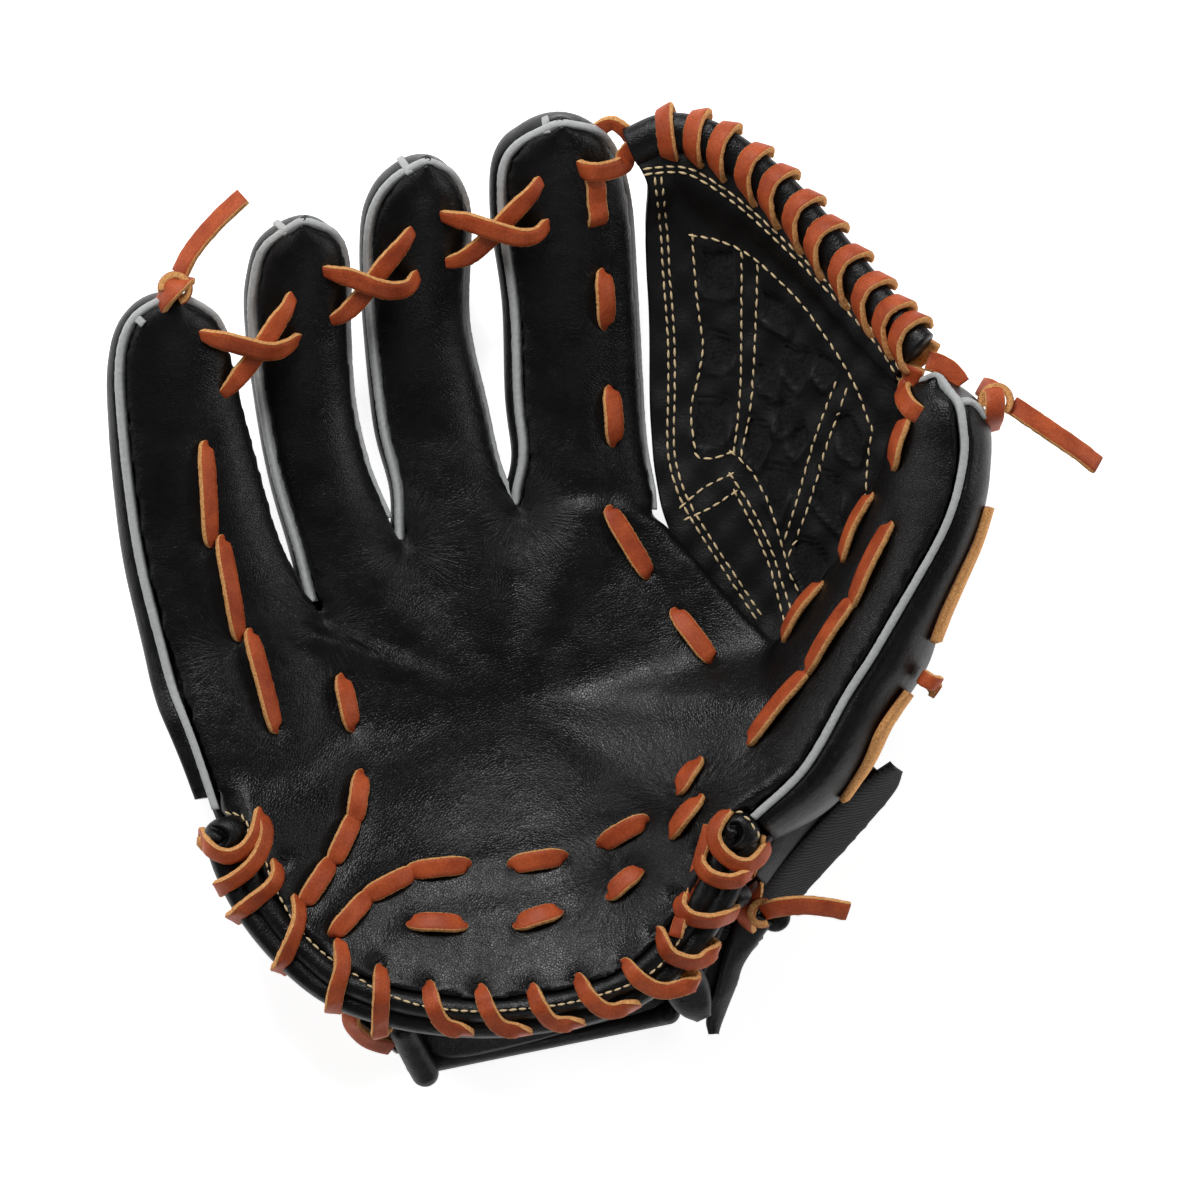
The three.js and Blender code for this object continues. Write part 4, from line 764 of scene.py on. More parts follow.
def lace_material():
    """Rust grain leather with raw tan edges where the raw attribute is one."""
    made, tree, shader = new_material("rust_lace", (0.34, 0.058, 0.018), 0.5)
    at = node(tree, "ShaderNodeTexCoord").outputs["Object"]
    raw = node(tree, "ShaderNodeAttribute", attribute_name="raw").outputs["Fac"]
    cloud = node(tree, "ShaderNodeTexNoise", {"Vector": at}, Scale=110.0, Detail=5.0).outputs[0]
    fine = node(tree, "ShaderNodeTexNoise", {"Vector": at}, Scale=1400.0, Detail=5.0, Roughness=0.7).outputs[0]
    both = math_node(tree, "MULTIPLY", cloud, fine)
    grain = mixed(tree, ranged(tree, both, 0.14, 0.36), (0.29, 0.043, 0.012), (0.52, 0.102, 0.03))
    cut = mixed(tree, ranged(tree, fine, 0.35, 0.66), (0.56, 0.21, 0.06), (0.97, 0.54, 0.21))
    edge = ranged(tree, raw, 0.35, 0.65)
    tree.links.new(mixed(tree, edge, grain, cut), shader.inputs["Base Color"])
    depth = ranged(tree, raw, 0.3, 0.7, 0.12, 1.0)
    bumped(tree, shader, math_node(tree, "MULTIPLY", fine, depth), 0.0006)
    tree.links.new(ranged(tree, raw, 0.3, 0.7, 0.5, 0.95), shader.inputs["Roughness"])
    shader.inputs["Specular IOR Level"].default_value = 0.25
    return made


def plain_material(name, color, roughness, scale, distance, spread=0.25):
    """One colour with a fine bump and a little unevenness."""
    made, tree, shader = new_material(name, color, roughness)
    at = node(tree, "ShaderNodeTexCoord").outputs["Object"]
    fine = node(tree, "ShaderNodeTexNoise", {"Vector": at}, Scale=scale, Detail=5.0, Roughness=0.65).outputs[0]
    dark, light = (tuple(c * k for c in color) for k in (1 - spread, 1 + spread))
    tree.links.new(mixed(tree, ranged(tree, fine, 0.3, 0.7), dark, light), shader.inputs["Base Color"])
    bumped(tree, shader, fine, distance)
    return made


def textile_material():
    made, tree, shader = new_material("ribbed_textile", (0.008, 0.008, 0.009), 0.92)
    at = node(tree, "ShaderNodeTexCoord").outputs["Object"]
    rib = node(tree, "ShaderNodeTexWave", {"Vector": at}, bands_direction="DIAGONAL", Scale=260.0, Distortion=4.0,
               Detail=3.0).outputs[1]
    fine = node(tree, "ShaderNodeTexNoise", {"Vector": at}, Scale=1300.0, Detail=4.0).outputs[0]
    tree.links.new(mixed(tree, rib, (0.004, 0.004, 0.005), (0.018, 0.018, 0.019)), shader.inputs["Base Color"])
    bumped(tree, shader, math_node(tree, "ADD", rib, math_node(tree, "MULTIPLY", fine, 0.6)), 0.0008)
    return made


LEATHER = leather_material("black_leather", (0.0033, 0.0033, 0.0037), 0.33, 0.3)
WEB_LEATHER = web_material()
LACE = lace_material()
WELT = plain_material("grey_welt", (0.43, 0.44, 0.44), 0.85, 700.0, 0.0003, 0.12)
CREAM = plain_material("cream_thread", (0.74, 0.57, 0.33), 0.7, 2600.0, 0.0002)
THREAD = plain_material("black_thread", (0.006, 0.006, 0.007), 0.85, 2000.0, 0.0004)
TEXTILE = textile_material()


def folds(verts):
    """Attributes for the creases that fan out from their centres: fold, and how deep they are."""
    x = (verts[:, 0] - SHIFT[0]) / WIDTH * 882 + 103
    y = 1030 - (verts[:, 1] - SHIFT[1]) / LENGTH * 910
    out = np.zeros((len(verts), 3))
    best, next_best = np.zeros(len(verts)), np.zeros(len(verts))
    for i, (cx, cy, reach) in enumerate(CREASES):
        dx, dy = x - cx, y - cy
        away = np.hypot(dx, dy)
        amount = np.exp(-((away / reach) ** 2) * 2.2) * np.clip(away / 14, 0, 1)
        stronger = amount > best
        next_best = np.where(stronger, best, np.maximum(next_best, amount))
        best = np.maximum(best, amount)
        around = np.stack([dx, dy], axis=1) / np.maximum(away, 1)[:, None] * 13
        value = np.hstack([around, (away * 0.045 + 7 * i)[:, None]])
        out[stronger] = value[stronger]
    return {"fold": out, "crease": np.clip(best - next_best, 0, 1)}


# ---------------------------------------------------------------- palm


def stitch_ends(row):
    """Both holes of each stitch of a row, in the front view's units."""
    out = []
    for x, y, length, angle in row:
        step = np.array([math.cos(math.radians(angle)), -math.sin(math.radians(angle))]) * length / 2
        out.append((np.array([x, y]) - step, np.array([x, y]) + step))
    return out


# Middle lines of the wraps of the heel, from the hole to the outer edge.
HEEL_WRAPS = [
    [(261, 811), (259, 824), (255, 837), (246, 849), (231, 856), (217, 853), (207, 845), (203, 835)],
    [(262, 815), (266, 824), (266, 838), (261, 853), (251, 867), (236, 879), (221, 887)],
    [(277, 862), (278, 877), (269, 889), (255, 900), (241, 911), (233, 918)],
    [(298, 898), (300, 912), (298, 926), (293, 939), (287, 953), (279, 969)],
    [(340, 940), (343, 965), (337, 989), (333, 1010)],
    [(381, 966), (382, 988), (381, 1010), (380, 1035)],
    [(429, 983), (434, 1005), (445, 1024), (466, 1031)],
    [(481, 987), (488, 1008), (501, 1026), (524, 1031)],
    [(532, 986), (540, 1006), (554, 1022), (577, 1023)],
    [(578, 976), (590, 997), (608, 1010), (632, 1005)],
    [(626, 962), (640, 979), (664, 990), (696, 982)],
    [(660, 932), (668, 952), (687, 961), (702, 960), (716, 949)],
    [(680, 895), (680, 908), (691, 917), (707, 920), (722, 918), (735, 912)],
    [(700, 853), (700, 865), (709, 875), (723, 880), (738, 879), (751, 871)],
    [(724, 811), (716, 824), (713, 837), (719, 850), (731, 860), (744, 865), (757, 860), (766, 846)],
]
HEEL_STRIP = [(710, 826), (700, 860), (690, 893), (682, 916), (675, 936)]

THREAD_HOLES = [(281, 861), (380, 963), (428, 981), (481, 985), (531, 984), (577, 974), (624, 960), (655, 932),
                (674, 895), (698, 853)]

PALM_ROWS = [INDEX_ROW, PINKY_SIDE_ROW, PALM_ONE, PINKY_HEEL_ROW, HEEL_UPPER_ROW, HEEL_LOWER_ROW,
             THUMB_LOWER_ROW, THUMB_ROW]


def bulge(x, y, w, wide, long, high):
    """An oval pad at a place of the front view and share of depth."""
    centre = np.array([*spot(x, y), w * DEPTH + SHIFT[2]])
    up, round_ = np.meshgrid(np.linspace(-1.45, 1.45, 15), np.linspace(0, 2 * math.pi, 24, endpoint=False), indexing="ij")
    x = np.cos(up) * np.cos(round_) * wide
    y = np.cos(up) * np.sin(round_) * long
    return tube_mesh(centre + np.stack([x, y, np.sin(up) * high], axis=-1))


def build_palm():
    corner = bulge(244, 801, 0.43, 8.2 * MM, 7.6 * MM, 5.5 * MM)
    pads = [stall.tip_pad() for stall in FINGERS[:4]]
    verts, faces = joined([palm_dish(), corner] + [stall.front() for stall in FINGERS] + pads)
    verts, faces = remeshed(verts, faces, 1.35 * MM)
    edges, degree = neighbours(len(verts), faces)
    v = (verts[:, 1] - SHIFT[1]) / LENGTH
    u = (verts[:, 0] - SHIFT[0]) / WIDTH
    soft = np.clip((0.66 - v) / 0.12, 0, 1)[:, None]
    soft = soft * np.clip((0.86 - u) / 0.06, 0.0, 1)[:, None]
    for _ in range(10):
        verts = relax(verts, edges, degree, 0.6)
        verts = relax(verts, edges, degree, -0.62)
    for _ in range(60):
        verts = relax(verts, edges, degree, 0.6 * soft)
        verts = relax(verts, edges, degree, -0.61 * soft)
    normals = vertex_normals(verts, faces)
    holes = [end for row in PALM_ROWS for pair in stitch_ends(row) for end in pair]
    holes += [np.array(hole, float) for hole in THREAD_HOLES]
    holes = spot(*np.array(holes).T)
    rows = [np.array([end for pair in stitch_ends(row) for end in pair]) for row in PALM_ROWS]
    down = np.zeros(len(verts))
    for hole in holes:
        away = np.linalg.norm(verts[:, :2] - hole, axis=1)
        down = np.maximum(down, 1.5 * MM * np.exp(-((away / (3.2 * MM)) ** 2)))
    groove = np.zeros(len(verts))
    for row in rows:
        line = spot(*even(row, 60).T)
        away = np.min(np.linalg.norm(verts[:, None, :2] - line[None], axis=2), axis=1)
        groove = np.maximum(groove, 0.9 * MM * np.exp(-((away / (5.5 * MM)) ** 2)))
    up = np.clip(normals[:, 2:3] * 1.5, 0, 1)
    verts = verts - normals * (np.maximum(down, groove)[:, None] * up)
    return verts, faces


palm_verts, palm_faces = build_palm()
palm = make_mesh("palm_leather", palm_verts, palm_faces, LEATHER, folds(palm_verts))
place_piece(palm, ["palm_shell"])
palm_bvh = bvh_of(palm_verts, palm_faces.tolist())


def leather_piece(name, shape, nodes=(), material=None, values=None):
    verts, faces = shape
    faces = outward(verts, faces)
    piece = make_mesh(name, verts, faces, material or LEATHER, values)
    return place_piece(piece, nodes)


for stall in FINGERS:
    leather_piece(stall.name + "_back_leather", stall.back(), [stall.name + "_back"])

# ---------------------------------------------------------------- back of the hand, strap and rolls


def trough(row, inset, first=0.0, last=12.0, count=61):
    """Sections (rows, count, 3) round the back of the hand, moved inwards by inset."""
    share = np.linspace(first / 12, last / 12, count)[None, :]
    turn = np.cos(math.pi * share)
    across = 0.5 - 0.5 * np.sign(turn) * np.abs(turn) ** 0.75
    col = [c[:, None] for c in row.T]
    lv, rv, lu, lw, ru, rw, floor = col
    edge = np.where(share < 0.5, lw, rw)
    w = floor + (edge - floor) * np.abs(turn) ** 3
    points = place(lu + (ru - lu) * across, lv + (rv - lv) * across, w)
    tang = unit(np.gradient(points, axis=1))
    inward = unit(np.stack([-tang[..., 2], 0 * tang[..., 2], tang[..., 0]], axis=-1))
    return points + inward * inset


back_rows = smooth_rows(HAND_BACK, 7)
leather_piece("hand_back_leather", wall_mesh(trough(back_rows, 0), trough(back_rows, 3 * MM)), ["hand_back"])
strap_rows = smooth_rows(HAND_BACK[-4:], 10)
strap_shape = wall_mesh(trough(strap_rows, -3.9 * MM, 2, 11), trough(strap_rows, -0.9 * MM, 2, 11))
leather_piece("wrist_strap_textile", strap_shape, ["wrist_strap"], TEXTILE)


def tube_along(line, up, width, height, count=20):
    """Rings of an oval tube along a line; up is its height direction."""
    tang = tangents(line)
    side = unit(np.cross(tang, up))
    lift = unit(np.cross(side, tang))
    a = np.linspace(0, 2 * math.pi, count, endpoint=False)
    w, h = np.broadcast_to(width, (len(line),)), np.broadcast_to(height, (len(line),))
    x = side[:, None] * np.cos(a)[None, :, None] * (w / 2)[:, None, None]
    y = lift[:, None] * np.sin(a)[None, :, None] * (h / 2)[:, None, None]
    return line[:, None] + x + y


def rounded_ends(line, radius, steps=5):
    """Widths along a line that close both ends like a dome."""
    run = np.concatenate([[0], np.cumsum(np.linalg.norm(np.diff(line, axis=0), axis=1))])
    near = np.minimum(run, run[-1] - run)
    t = np.clip(near / radius, 0, 1)
    return np.sqrt(np.clip(1 - (1 - t) ** 2, 0.0004, 1))


roll_line = trough(back_rows[-1:], 1.5 * MM, 1.5, 11)[0] - np.array([0, 4.35 * MM, 0])
roll_line = even(roll_line, 120)
roll_line[:, 1] += np.linspace(0, 5.5 * MM, 120)
roll_turn = np.array([[*spot(x, y), w * DEPTH] for x, y, w in ((397, 1022, 0.3), (411, 1052, 0.21), (429, 1087, 0.12))])
swell = 8 * MM * rounded_ends(roll_line, 4 * MM)
roll_rings = tube_along(roll_line, np.array([0, 0, 1.0]), swell, swell)
leather_piece("back_roll_leather", tube_mesh(roll_rings), ["back_roll"])
turn_line = even(smooth_rows(roll_turn, 10), 60)
turn_width = 9 * MM * rounded_ends(turn_line, 4.5 * MM)
turn_rings = tube_along(turn_line, np.array([0, 0, 1.0]), turn_width, turn_width)
leather_piece("back_roll_turn", tube_mesh(turn_rings))

# ---------------------------------------------------------------- heel rolls


def heel_profile(count=13):
    """The outline of two rolls side by side, as shares in and up of the section."""
    cut = math.acos(ROLL_SPACING / ROLL)
    a = np.linspace(-math.pi + cut, math.pi - cut, count)
    right = np.stack([ROLL_SPACING / 2 + ROLL / 2 * np.cos(a), ROLL / 2 * np.sin(a)], axis=1)
    return np.vstack([right, -right])


def heel_rings():
    profile = heel_profile()
    run = np.linspace(0, 1, len(heel_line)) * 0.42
    close = np.sqrt(np.clip(1 - (1 - np.clip(np.minimum(run, run[-1] - run) / 0.0052, 0, 1)) ** 2, 0.02, 1))
    x = heel_in[:, None] * profile[None, :, 0:1] * (0.45 + 0.55 * close)[:, None, None]
    y = heel_up[:, None] * profile[None, :, 1:2] * close[:, None, None]
    return heel_line[:, None] + x + y


leather_piece("heel_rolls", tube_mesh(heel_rings()), ["heel_binding"])
heel_verts, heel_faces = tube_mesh(heel_rings())
heel_bvh = bvh_of(heel_verts, heel_faces)



def cap(name, index, way, wide, long, high, slit):
    """A domed end of the double roll, with a curled slit in it."""
    middle = heel_line[index] + heel_along[index] * way * 0.8 * MM
    x_dir, y_dir = heel_in[index], heel_along[index] * way
    z_dir = heel_up[index] * (1 if heel_up[index][2] > 0 else -1)
    rows, count = 26, 48
    a = np.linspace(0, 2 * math.pi, count, endpoint=False)
    rho = np.sin(np.linspace(0.06, math.pi / 2, rows))
    slit = np.array(slit)
    line = even(smooth_rows(slit, 8), 40)
    out = []
    for r in rho:
        x, y = r * np.cos(a), r * np.sin(a)
        z = np.sqrt(np.clip(1 - r**2.6, 0, 1))
        away = np.min(np.hypot(x[:, None] - line[:, 0], y[:, None] - line[:, 1]), axis=1)
        z = z - 0.55 * np.exp(-((away / 0.13) ** 2)) * (1 - r**4)
        out.append(middle + np.outer(x * wide, x_dir) + np.outer(y * long, y_dir) + np.outer(z * high, z_dir))
    for r in rho[::-1][1:]:
        x, y = r * np.cos(a), r * np.sin(a)
        z = -0.8 * np.sqrt(np.clip(1 - r**2.6, 0, 1))
        out.append(middle + np.outer(x * wide, x_dir) + np.outer(y * long, y_dir) + np.outer(z * high, z_dir))
    shape = tube_mesh(np.array(out))
    cap_trees.append(bvh_of(*shape))
    return leather_piece(name, shape)


cap_trees = []
CURL = [(-0.55, -0.75), (-0.15, -0.35), (0.0, 0.05), (-0.25, 0.35), (-0.5, 0.3)]
cap("pinky_end_cap", 1, -1, 7.4 * MM, 6.2 * MM, 5.2 * MM, [(x, -y) for x, y in CURL])
cap("thumb_end_cap", -2, 1, 6.4 * MM, 6.8 * MM, 4.8 * MM, [(-x, y) for x, y in CURL])

# ---------------------------------------------------------------- web

top_line = even(smooth_rows(place(*WEB_TOP.T), 12), 240)
top_along = tangents(top_line)
top_in = place(0.74, 0.7, 0.38) - top_line
top_in = unit(top_in - top_along * dot(top_in, top_along))
top_up = unit(np.cross(top_along, top_in))
top_up = top_up * np.where(top_up[:, 2:3] < 0, -1, 1)

binding_width = BINDING_WIDTH * np.ones(len(top_line))
binding = tube_along(top_line, top_up, binding_width, BINDING_HEIGHT, 24)
binding_shape = tube_mesh(binding)
leather_piece("web_top_roll", binding_shape, ["web_binding"])
binding_bvh = bvh_of(*binding_shape)

PATCHES = [
    [(703, 249), (735, 250), (735, 292), (722, 294), (705, 288)],
    [(763, 288), (786, 300), (790, 332), (765, 315)],
    [(703, 334), (732, 334), (733, 363), (722, 365), (704, 361)],
    [(786, 343), (810, 350), (812, 372), (802, 388), (788, 374)],
    [(759, 358), (778, 364), (779, 396), (761, 382)],
    [(818, 350), (836, 360), (835, 376), (827, 386), (817, 370)],
    [(698, 400), (729, 397), (729, 438), (706, 444), (697, 440)],
    [(750, 415), (769, 425), (772, 440), (760, 466), (746, 450)],
    [(778, 398), (792, 402), (793, 428), (780, 432)],
    [(792, 428), (806, 424), (808, 440), (800, 455), (791, 445)],
    [(768, 462), (788, 470), (788, 500), (781, 520), (770, 500)],
    [(836, 416), (850, 412), (864, 436), (861, 462), (845, 450)],
    [(820, 467), (840, 480), (846, 532), (818, 503)],
    [(796, 540), (815, 538), (830, 560), (818, 588), (809, 592), (796, 564)],
]


def inside(points, corners):
    """How far points are inside a polygon, negative outside."""
    corners = np.asarray(corners, float)
    away = np.full(len(points), 1e9)
    odd = np.zeros(len(points), bool)
    for a, b in zip(corners, np.roll(corners, -1, axis=0)):
        step = b - a
        t = np.clip(((points - a) @ step) / (step @ step), 0, 1)
        away = np.minimum(away, np.linalg.norm(points - a - t[:, None] * step, axis=1))
        crosses = (a[1] > points[:, 1]) != (b[1] > points[:, 1])
        x = a[0] + (points[:, 1] - a[1]) * step[0] / (step[1] if abs(step[1]) > 1e-9 else 1e-9)
        odd ^= crosses & (points[:, 0] < x)
    return np.where(odd, away, -away)


def web_grid():
    share = np.linspace(0, 1, 121)
    reach = top_line + top_in * 13.66 * MM
    near = top_line + top_in * 4 * MM
    at = np.linspace(0, 1, len(top_line))
    pick = lambda line: np.stack([np.interp(share, at, line[:, k]) for k in range(3)], axis=1)
    high, edge = pick(reach), pick(near)
    bow = high - (high[0] + (high[-1] - high[0]) * share[:, None])
    rows = []
    for lu, lv, lw, ru, rv, rw, bulge in WEB:
        left, right = place(lu, lv, lw), place(ru, rv, rw)
        p = left + (right - left) * share[:, None] + bow * bulge
        p[:, 2] -= 4 * MM * 4 * share * (1 - share) * (1 - bulge)
        rows.append(p)
    rows += [high, edge]
    flat = smooth_rows(np.array(rows).reshape(len(rows), -1), 18)
    return flat.reshape(-1, len(share), 3)


def build_web():
    grid = web_grid()
    du, dv = np.gradient(grid, axis=1), np.gradient(grid, axis=0)
    normal = unit(np.cross(du, dv))
    x = (grid[..., 0] - SHIFT[0]) / WIDTH * 882 + 103
    y = 1030 - (grid[..., 1] - SHIFT[1]) / LENGTH * 910
    points = np.stack([x.ravel(), y.ravel()], axis=1)
    rise = np.zeros(len(points))
    suede = np.zeros(len(points))
    for patch in PATCHES:
        deep = inside(points, patch)
        mask = np.clip(deep / 1.8 + 0.5, 0, 1)
        suede = np.maximum(suede, mask)
        rise -= 1.7 * MM * mask
        low = np.clip((points[:, 1] - np.mean([c[1] for c in patch])) / 12, 0, 1)
        rise += 1.3 * MM * np.exp(-(((deep + 3.0) / 2.6) ** 2)) * low
    weave = np.sin(points[:, 0] * 0.14) * np.sin(points[:, 1] * 0.12) * 0.5 * MM
    rise = (rise + weave).reshape(grid.shape[:2])
    top = grid + normal * (1.5 * MM + rise)[..., None]
    under = grid - normal * (1.5 * MM)
    shape = wall_mesh(top, under)
    rings = np.concatenate([suede.reshape(grid.shape[:2]), np.zeros(grid.shape[:2])], axis=1)
    return shape, rings.ravel()


web_shape, web_suede = build_web()
leather_piece("web_leather", web_shape, ["web_panel"], WEB_LEATHER, {"suede": web_suede})
web_bvh = bvh_of(*web_shape)

# ---------------------------------------------------------------- laying things on the leather

DOWN = Vector((0, 0, -1))
ALL_LEATHER = [palm_bvh, web_bvh, binding_bvh, heel_bvh]


def land(x, y, trees=None):
    """The highest point of the leather at a place of the front view, and its normal."""
    px, py = spot(x, y)
    best = None
    for tree in trees or ALL_LEATHER:
        point, normal, _, _ = tree.ray_cast(Vector((px, py, 0.3)), DOWN)
        if point is not None and (best is None or point.z > best[0][2]):
            n = np.array(normal)
            best = (np.array(point), n if n[2] > 0 else -n)
    return best


RIBBON = np.array(
    [
        (-0.86, 1.0), (-0.45, 1.06), (0.0, 1.08), (0.45, 1.06), (0.86, 1.0), (1.0, 0.62),
        (1.0, -0.5), (0.92, -1.0), (0.0, -1.0), (-0.92, -1.0), (-1.0, -0.5), (-1.0, 0.62),
    ]
)
RIBBON_RAW = np.array([0.1, 0, 0, 0, 0.1, 1, 1, 1, 1, 1, 1, 1.0])


def ribbon(path, up, width=LACE_WIDTH, thick=LACE_THICK, flip=False, narrow=None):
    """Rings and raw values of a lace along a path; up is the way its grain face looks."""
    path = np.asarray(path, float)
    tang = tangents(path)
    up = np.broadcast_to(np.asarray(up, float), path.shape)
    side = unit(np.cross(tang, up))
    lift = unit(np.cross(side, tang))
    if flip:
        lift = -lift
    scale = np.ones(len(path)) if narrow is None else narrow
    x = side[:, None] * (RIBBON[None, :, 0:1] * width / 2 * scale[:, None, None])
    y = lift[:, None] * (RIBBON[None, :, 1:2] * thick / 2)
    rings = path[:, None] + x + y
    fray = rng.normal(0, 0.07 * MM, rings.shape[:2]) * RIBBON_RAW
    rings = rings + side[:, None] * fray[..., None]
    return rings, np.tile(RIBBON_RAW, (len(path), 1))


class Lace:
    """Ribbons that make one piece."""

    def __init__(self, name, nodes=()):
        self.name, self.nodes = name, nodes
        self.parts, self.raw = [], []

    def add(self, path, up, dense=5, shape=None, **more):
        """Adds a ribbon; shape is its width at each point of the path, as a share."""
        shape = np.ones(len(path)) if shape is None else np.asarray(shape, float)
        both = smooth_rows(np.hstack([path, np.broadcast_to(up, np.shape(path)), shape[:, None]]), dense)
        rings, raw = ribbon(both[:, :3], unit(both[:, 3:6]), narrow=both[:, 6], **more)
        self.parts.append(tube_mesh(rings))
        self.raw.append(np.concatenate([raw.ravel(), [1, 1]]))
        return both[:, :3]

    def build(self):
        verts, faces = joined(self.parts)
        piece = make_mesh(self.name, verts, faces, LACE, {"raw": np.concatenate(self.raw)})
        return place_piece(piece, self.nodes)


STITCH_SHAPE = [0.55, 0.62, 0.8, 0.97, 1, 1, 1, 1, 0.97, 0.8, 0.62, 0.55]


def running(name, row, nodes, lean=(0.0, 0.0), hump=1.1 * MM):
    """Stitches of lace; lean tips their face, which shows the raw edge on the other side."""
    lace = Lace(name, nodes)
    for a, b in stitch_ends(row):
        t = np.linspace(0.03, 0.97, 8)
        hits = [land(*(a + (b - a) * s)) for s in t]
        points = np.array([h[0] for h in hits])
        normal = unit(np.mean([h[1] for h in hits], axis=0) + np.array([0, 0, 0.4]))
        arch = LACE_THICK / 2 + (0.8 * MM + hump) * np.sin(math.pi * t) ** 0.7 - 0.3 * MM
        line = points + normal * arch[:, None]
        line[1:-1] = 0.5 * line[1:-1] + 0.25 * (line[:-2] + line[2:])
        go = unit(line[-1] - line[0])
        first = [line[0] - normal * 6 * MM + go * 0.6 * MM, line[0] - normal * 2.0 * MM - go * 0.5 * MM]
        last = [line[-1] - normal * 2.0 * MM + go * 0.5 * MM, line[-1] - normal * 6 * MM - go * 0.6 * MM]
        path = np.vstack([first, line, last])
        lace.add(path, unit(normal + np.array([*lean, 0.0])), shape=STITCH_SHAPE)
    return lace.build()


running("index_lace", INDEX_ROW, ["index_web_lace"], (0.3, 0.0))
running("pinky_side_lace", PINKY_SIDE_ROW, ["pinky_lace"], (0.75, 0.1))
running("palm_lace", PALM_ONE, ["palm_stitch_lace"], (0.5, 0.1))
running("pinky_heel_stitches", PINKY_HEEL_ROW, ["pinky_heel_lace"], (0.3, -0.1))
running("heel_upper_stitches", HEEL_UPPER_ROW, ["heel_upper_lace"], (0.1, -0.35))
running("heel_lower_stitches", HEEL_LOWER_ROW, ["heel_lower_lace"], (0.0, 0.3))
running("thumb_lower_stitches", THUMB_LOWER_ROW, ["thumb_lower_lace"], (-0.6, 0.3))
running("thumb_stitches", THUMB_ROW, ["thumb_lace"], (-0.7, 0.5))
running("web_thumb_stitches", WEB_THUMB_ROW, ["web_thumb_lace"], (-0.8, 0.4))

# Middle lines of the upper and the lower lace between two fingers.
CROSSES = {
    "pinky_ring": ([(206, 337), (226, 342), (249, 348), (268, 352), (284, 349), (297, 340)],
                   [(227, 394), (236, 381), (250, 364), (264, 344), (278, 322), (288, 308), (291, 299)]),
    "ring_middle": ([(328, 273), (350, 278), (376, 288), (395, 291), (409, 287), (416, 277)],
                    [(335, 321), (350, 309), (367, 290), (383, 268), (400, 248), (411, 234)]),
    "middle_index": ([(445, 218), (466, 222), (494, 231), (520, 238), (537, 235), (546, 226)],
                     [(450, 264), (471, 254), (492, 236), (511, 215), (530, 196), (539, 184)]),
}


def crossing(name, centre, nodes, extra, lean):
    """A lace through a line of the front view, stretched from one finger to the next."""
    centre = even(smooth_rows(np.array(centre, float), 4), 11)
    ends = [land(*centre[i], [palm_bvh]) for i in (0, -1)]
    heights = []
    for k, (x, y) in enumerate(centre):
        hit = land(x, y, [palm_bvh])
        straight = ends[0][0][2] + (ends[1][0][2] - ends[0][0][2]) * k / 10
        heights.append(max(straight, hit[0][2] if hit is not None else -1))
    z = np.array(heights) + LACE_THICK / 2 + 0.5 * MM
    for _ in range(3):
        z[1:-1] = np.maximum(z[1:-1], 0.25 * z[:-2] + 0.5 * z[1:-1] + 0.25 * z[2:])
    z = z + extra * np.sin(np.linspace(0, math.pi, 11))
    line = np.column_stack([spot(*centre.T), z])
    path = np.vstack([line[0] - ends[0][1] * 7 * MM, line[0] - ends[0][1] * 2 * MM, line[1:-1],
                      line[-1] - ends[1][1] * 2 * MM, line[-1] - ends[1][1] * 7 * MM])
    up = np.tile(np.array([*lean, 1.0]), (len(path), 1))
    shape = [0.5, 0.6, 0.85, 1, 1, 1.02, 1.02, 1.02, 1, 0.95, 0.8, 0.6, 0.5]
    lace = Lace(name, nodes)
    lace.add(path, unit(up), dense=4, shape=shape)
    return lace.build()


for cross, (over, under) in CROSSES.items():
    crossing(cross + "_under", under, [cross + "_lace_under"], 0.4 * MM, (0.45, -0.3))
    crossing(cross + "_over", over, [cross + "_lace_over"], 3.0 * MM, (0.05, -0.6))

# ---------------------------------------------------------------- laces of the heel and of the web's top


def nearest(line, point):
    return int(np.argmin(np.linalg.norm(line[:, :2] - point[:2], axis=1)))


def stadium(phi, half_flat, radius):
    """Points round a stadium, phi from 0 at the inner side through the top."""
    x = half_flat * np.clip(1.6 * np.cos(phi), -1, 1) + radius * np.cos(phi)
    return x, radius * np.sin(phi)


